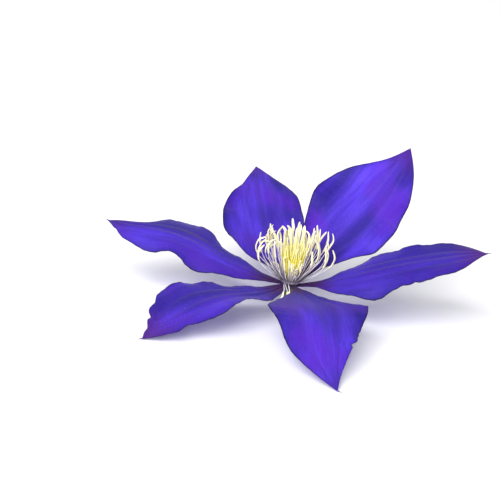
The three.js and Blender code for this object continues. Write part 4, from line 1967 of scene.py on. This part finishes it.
@dataclass
class Studio:
    """A pale floor, soft lights and the camera at the photograph's angle."""

    lens: float = 90.0  # millimetres, on a sensor 36 mm wide
    sensor: float = 36.0
    distance: float = 450 * MM
    elevation: float = 19.0
    roll: float = 7.0
    aim_right: float = 14.4 * MM  # how far the bloom's middle lies right of the picture's
    aim_down: float = 12.24 * MM
    floor_size: float = 12.0
    clip: tuple[float, float] = (0.01, 100)
    floor_colour: Colour = srgb(253, 253, 254)
    floor_roughness: float = 0.9
    floor_specular: float = 0.1
    sky_strength: float = 0.48
    lights: tuple[Softbox, ...] = (
        Softbox("key", -24, 36, 5.0, 3.9, 372.0),
        Softbox("fill", 60, 35, 5.0, 4.1, 41.0),
    )

    def build(self) -> None:
        """Sets up everything that isn't the bloom."""
        self.camera()
        self.floor()
        for light in self.lights:
            light.build()
        world = bpy.data.worlds.new("soft_sky")
        world.use_nodes = True
        background = world.node_tree.nodes["Background"]
        background.inputs["Color"].default_value = (1, 1, 1, 1)
        background.inputs["Strength"].default_value = self.sky_strength
        bpy.context.scene.world = world
        bpy.context.scene.view_settings.view_transform = "Standard"

    def camera(self) -> None:
        """Places the camera, rolled as the photograph is."""
        roll, rise = math.radians(self.roll), math.radians(self.elevation)
        right = Vector(
            (math.cos(roll), math.sin(roll) * math.sin(rise), math.sin(roll) * math.cos(rise))
        )
        up = Vector(
            (-math.sin(roll), math.cos(roll) * math.sin(rise), math.cos(roll) * math.cos(rise))
        )
        back = Vector((0, -math.cos(rise), math.sin(rise)))
        data = bpy.data.cameras.new("camera")
        data.lens = self.lens
        data.sensor_width = self.sensor
        data.clip_start, data.clip_end = self.clip
        holder = bpy.data.objects.new("camera", data)
        aimed_at = Vector(BLOOM_CENTRE) - right * self.aim_right + up * self.aim_down
        axes = Matrix((right, up, back)).transposed().to_4x4()
        holder.matrix_world = Matrix.Translation(aimed_at + back * self.distance) @ axes
        bpy.context.scene.collection.objects.link(holder)
        bpy.context.scene.camera = holder

    def floor(self) -> None:
        """The plain pale surface that the bloom lies on."""
        half = self.floor_size / 2
        corners = np.array([(-half, -half, 0), (half, -half, 0), (half, half, 0), (-half, half, 0)])
        floor = mesh_object("floor", corners, [(0, 1, 2, 3)])
        material, graph = material_graph("pale_floor")
        shader = graph.add("ShaderNodeBsdfPrincipled")
        graph.put(shader, Base_Color=self.floor_colour, Roughness=self.floor_roughness)
        graph.put(shader, Specular_IOR_Level=self.floor_specular)
        graph.put(graph.add("ShaderNodeOutputMaterial"), Surface=shader.outputs[0])
        floor.data.materials.append(material)


def write_sizes() -> None:
    """Brings the view layer up to date."""
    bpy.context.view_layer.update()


def main() -> None:
    """Builds the bloom and the studio round it."""
    logging.basicConfig(level=logging.INFO, format="%(name)s: %(message)s")
    for assembly in (Perianth(), Stalk(), StamenBrush(), Pistil(), Studio()):
        LOG.info("building %s", type(assembly).__name__)
        assembly.build()
    write_sizes()


if __name__ == "__main__":
    main()
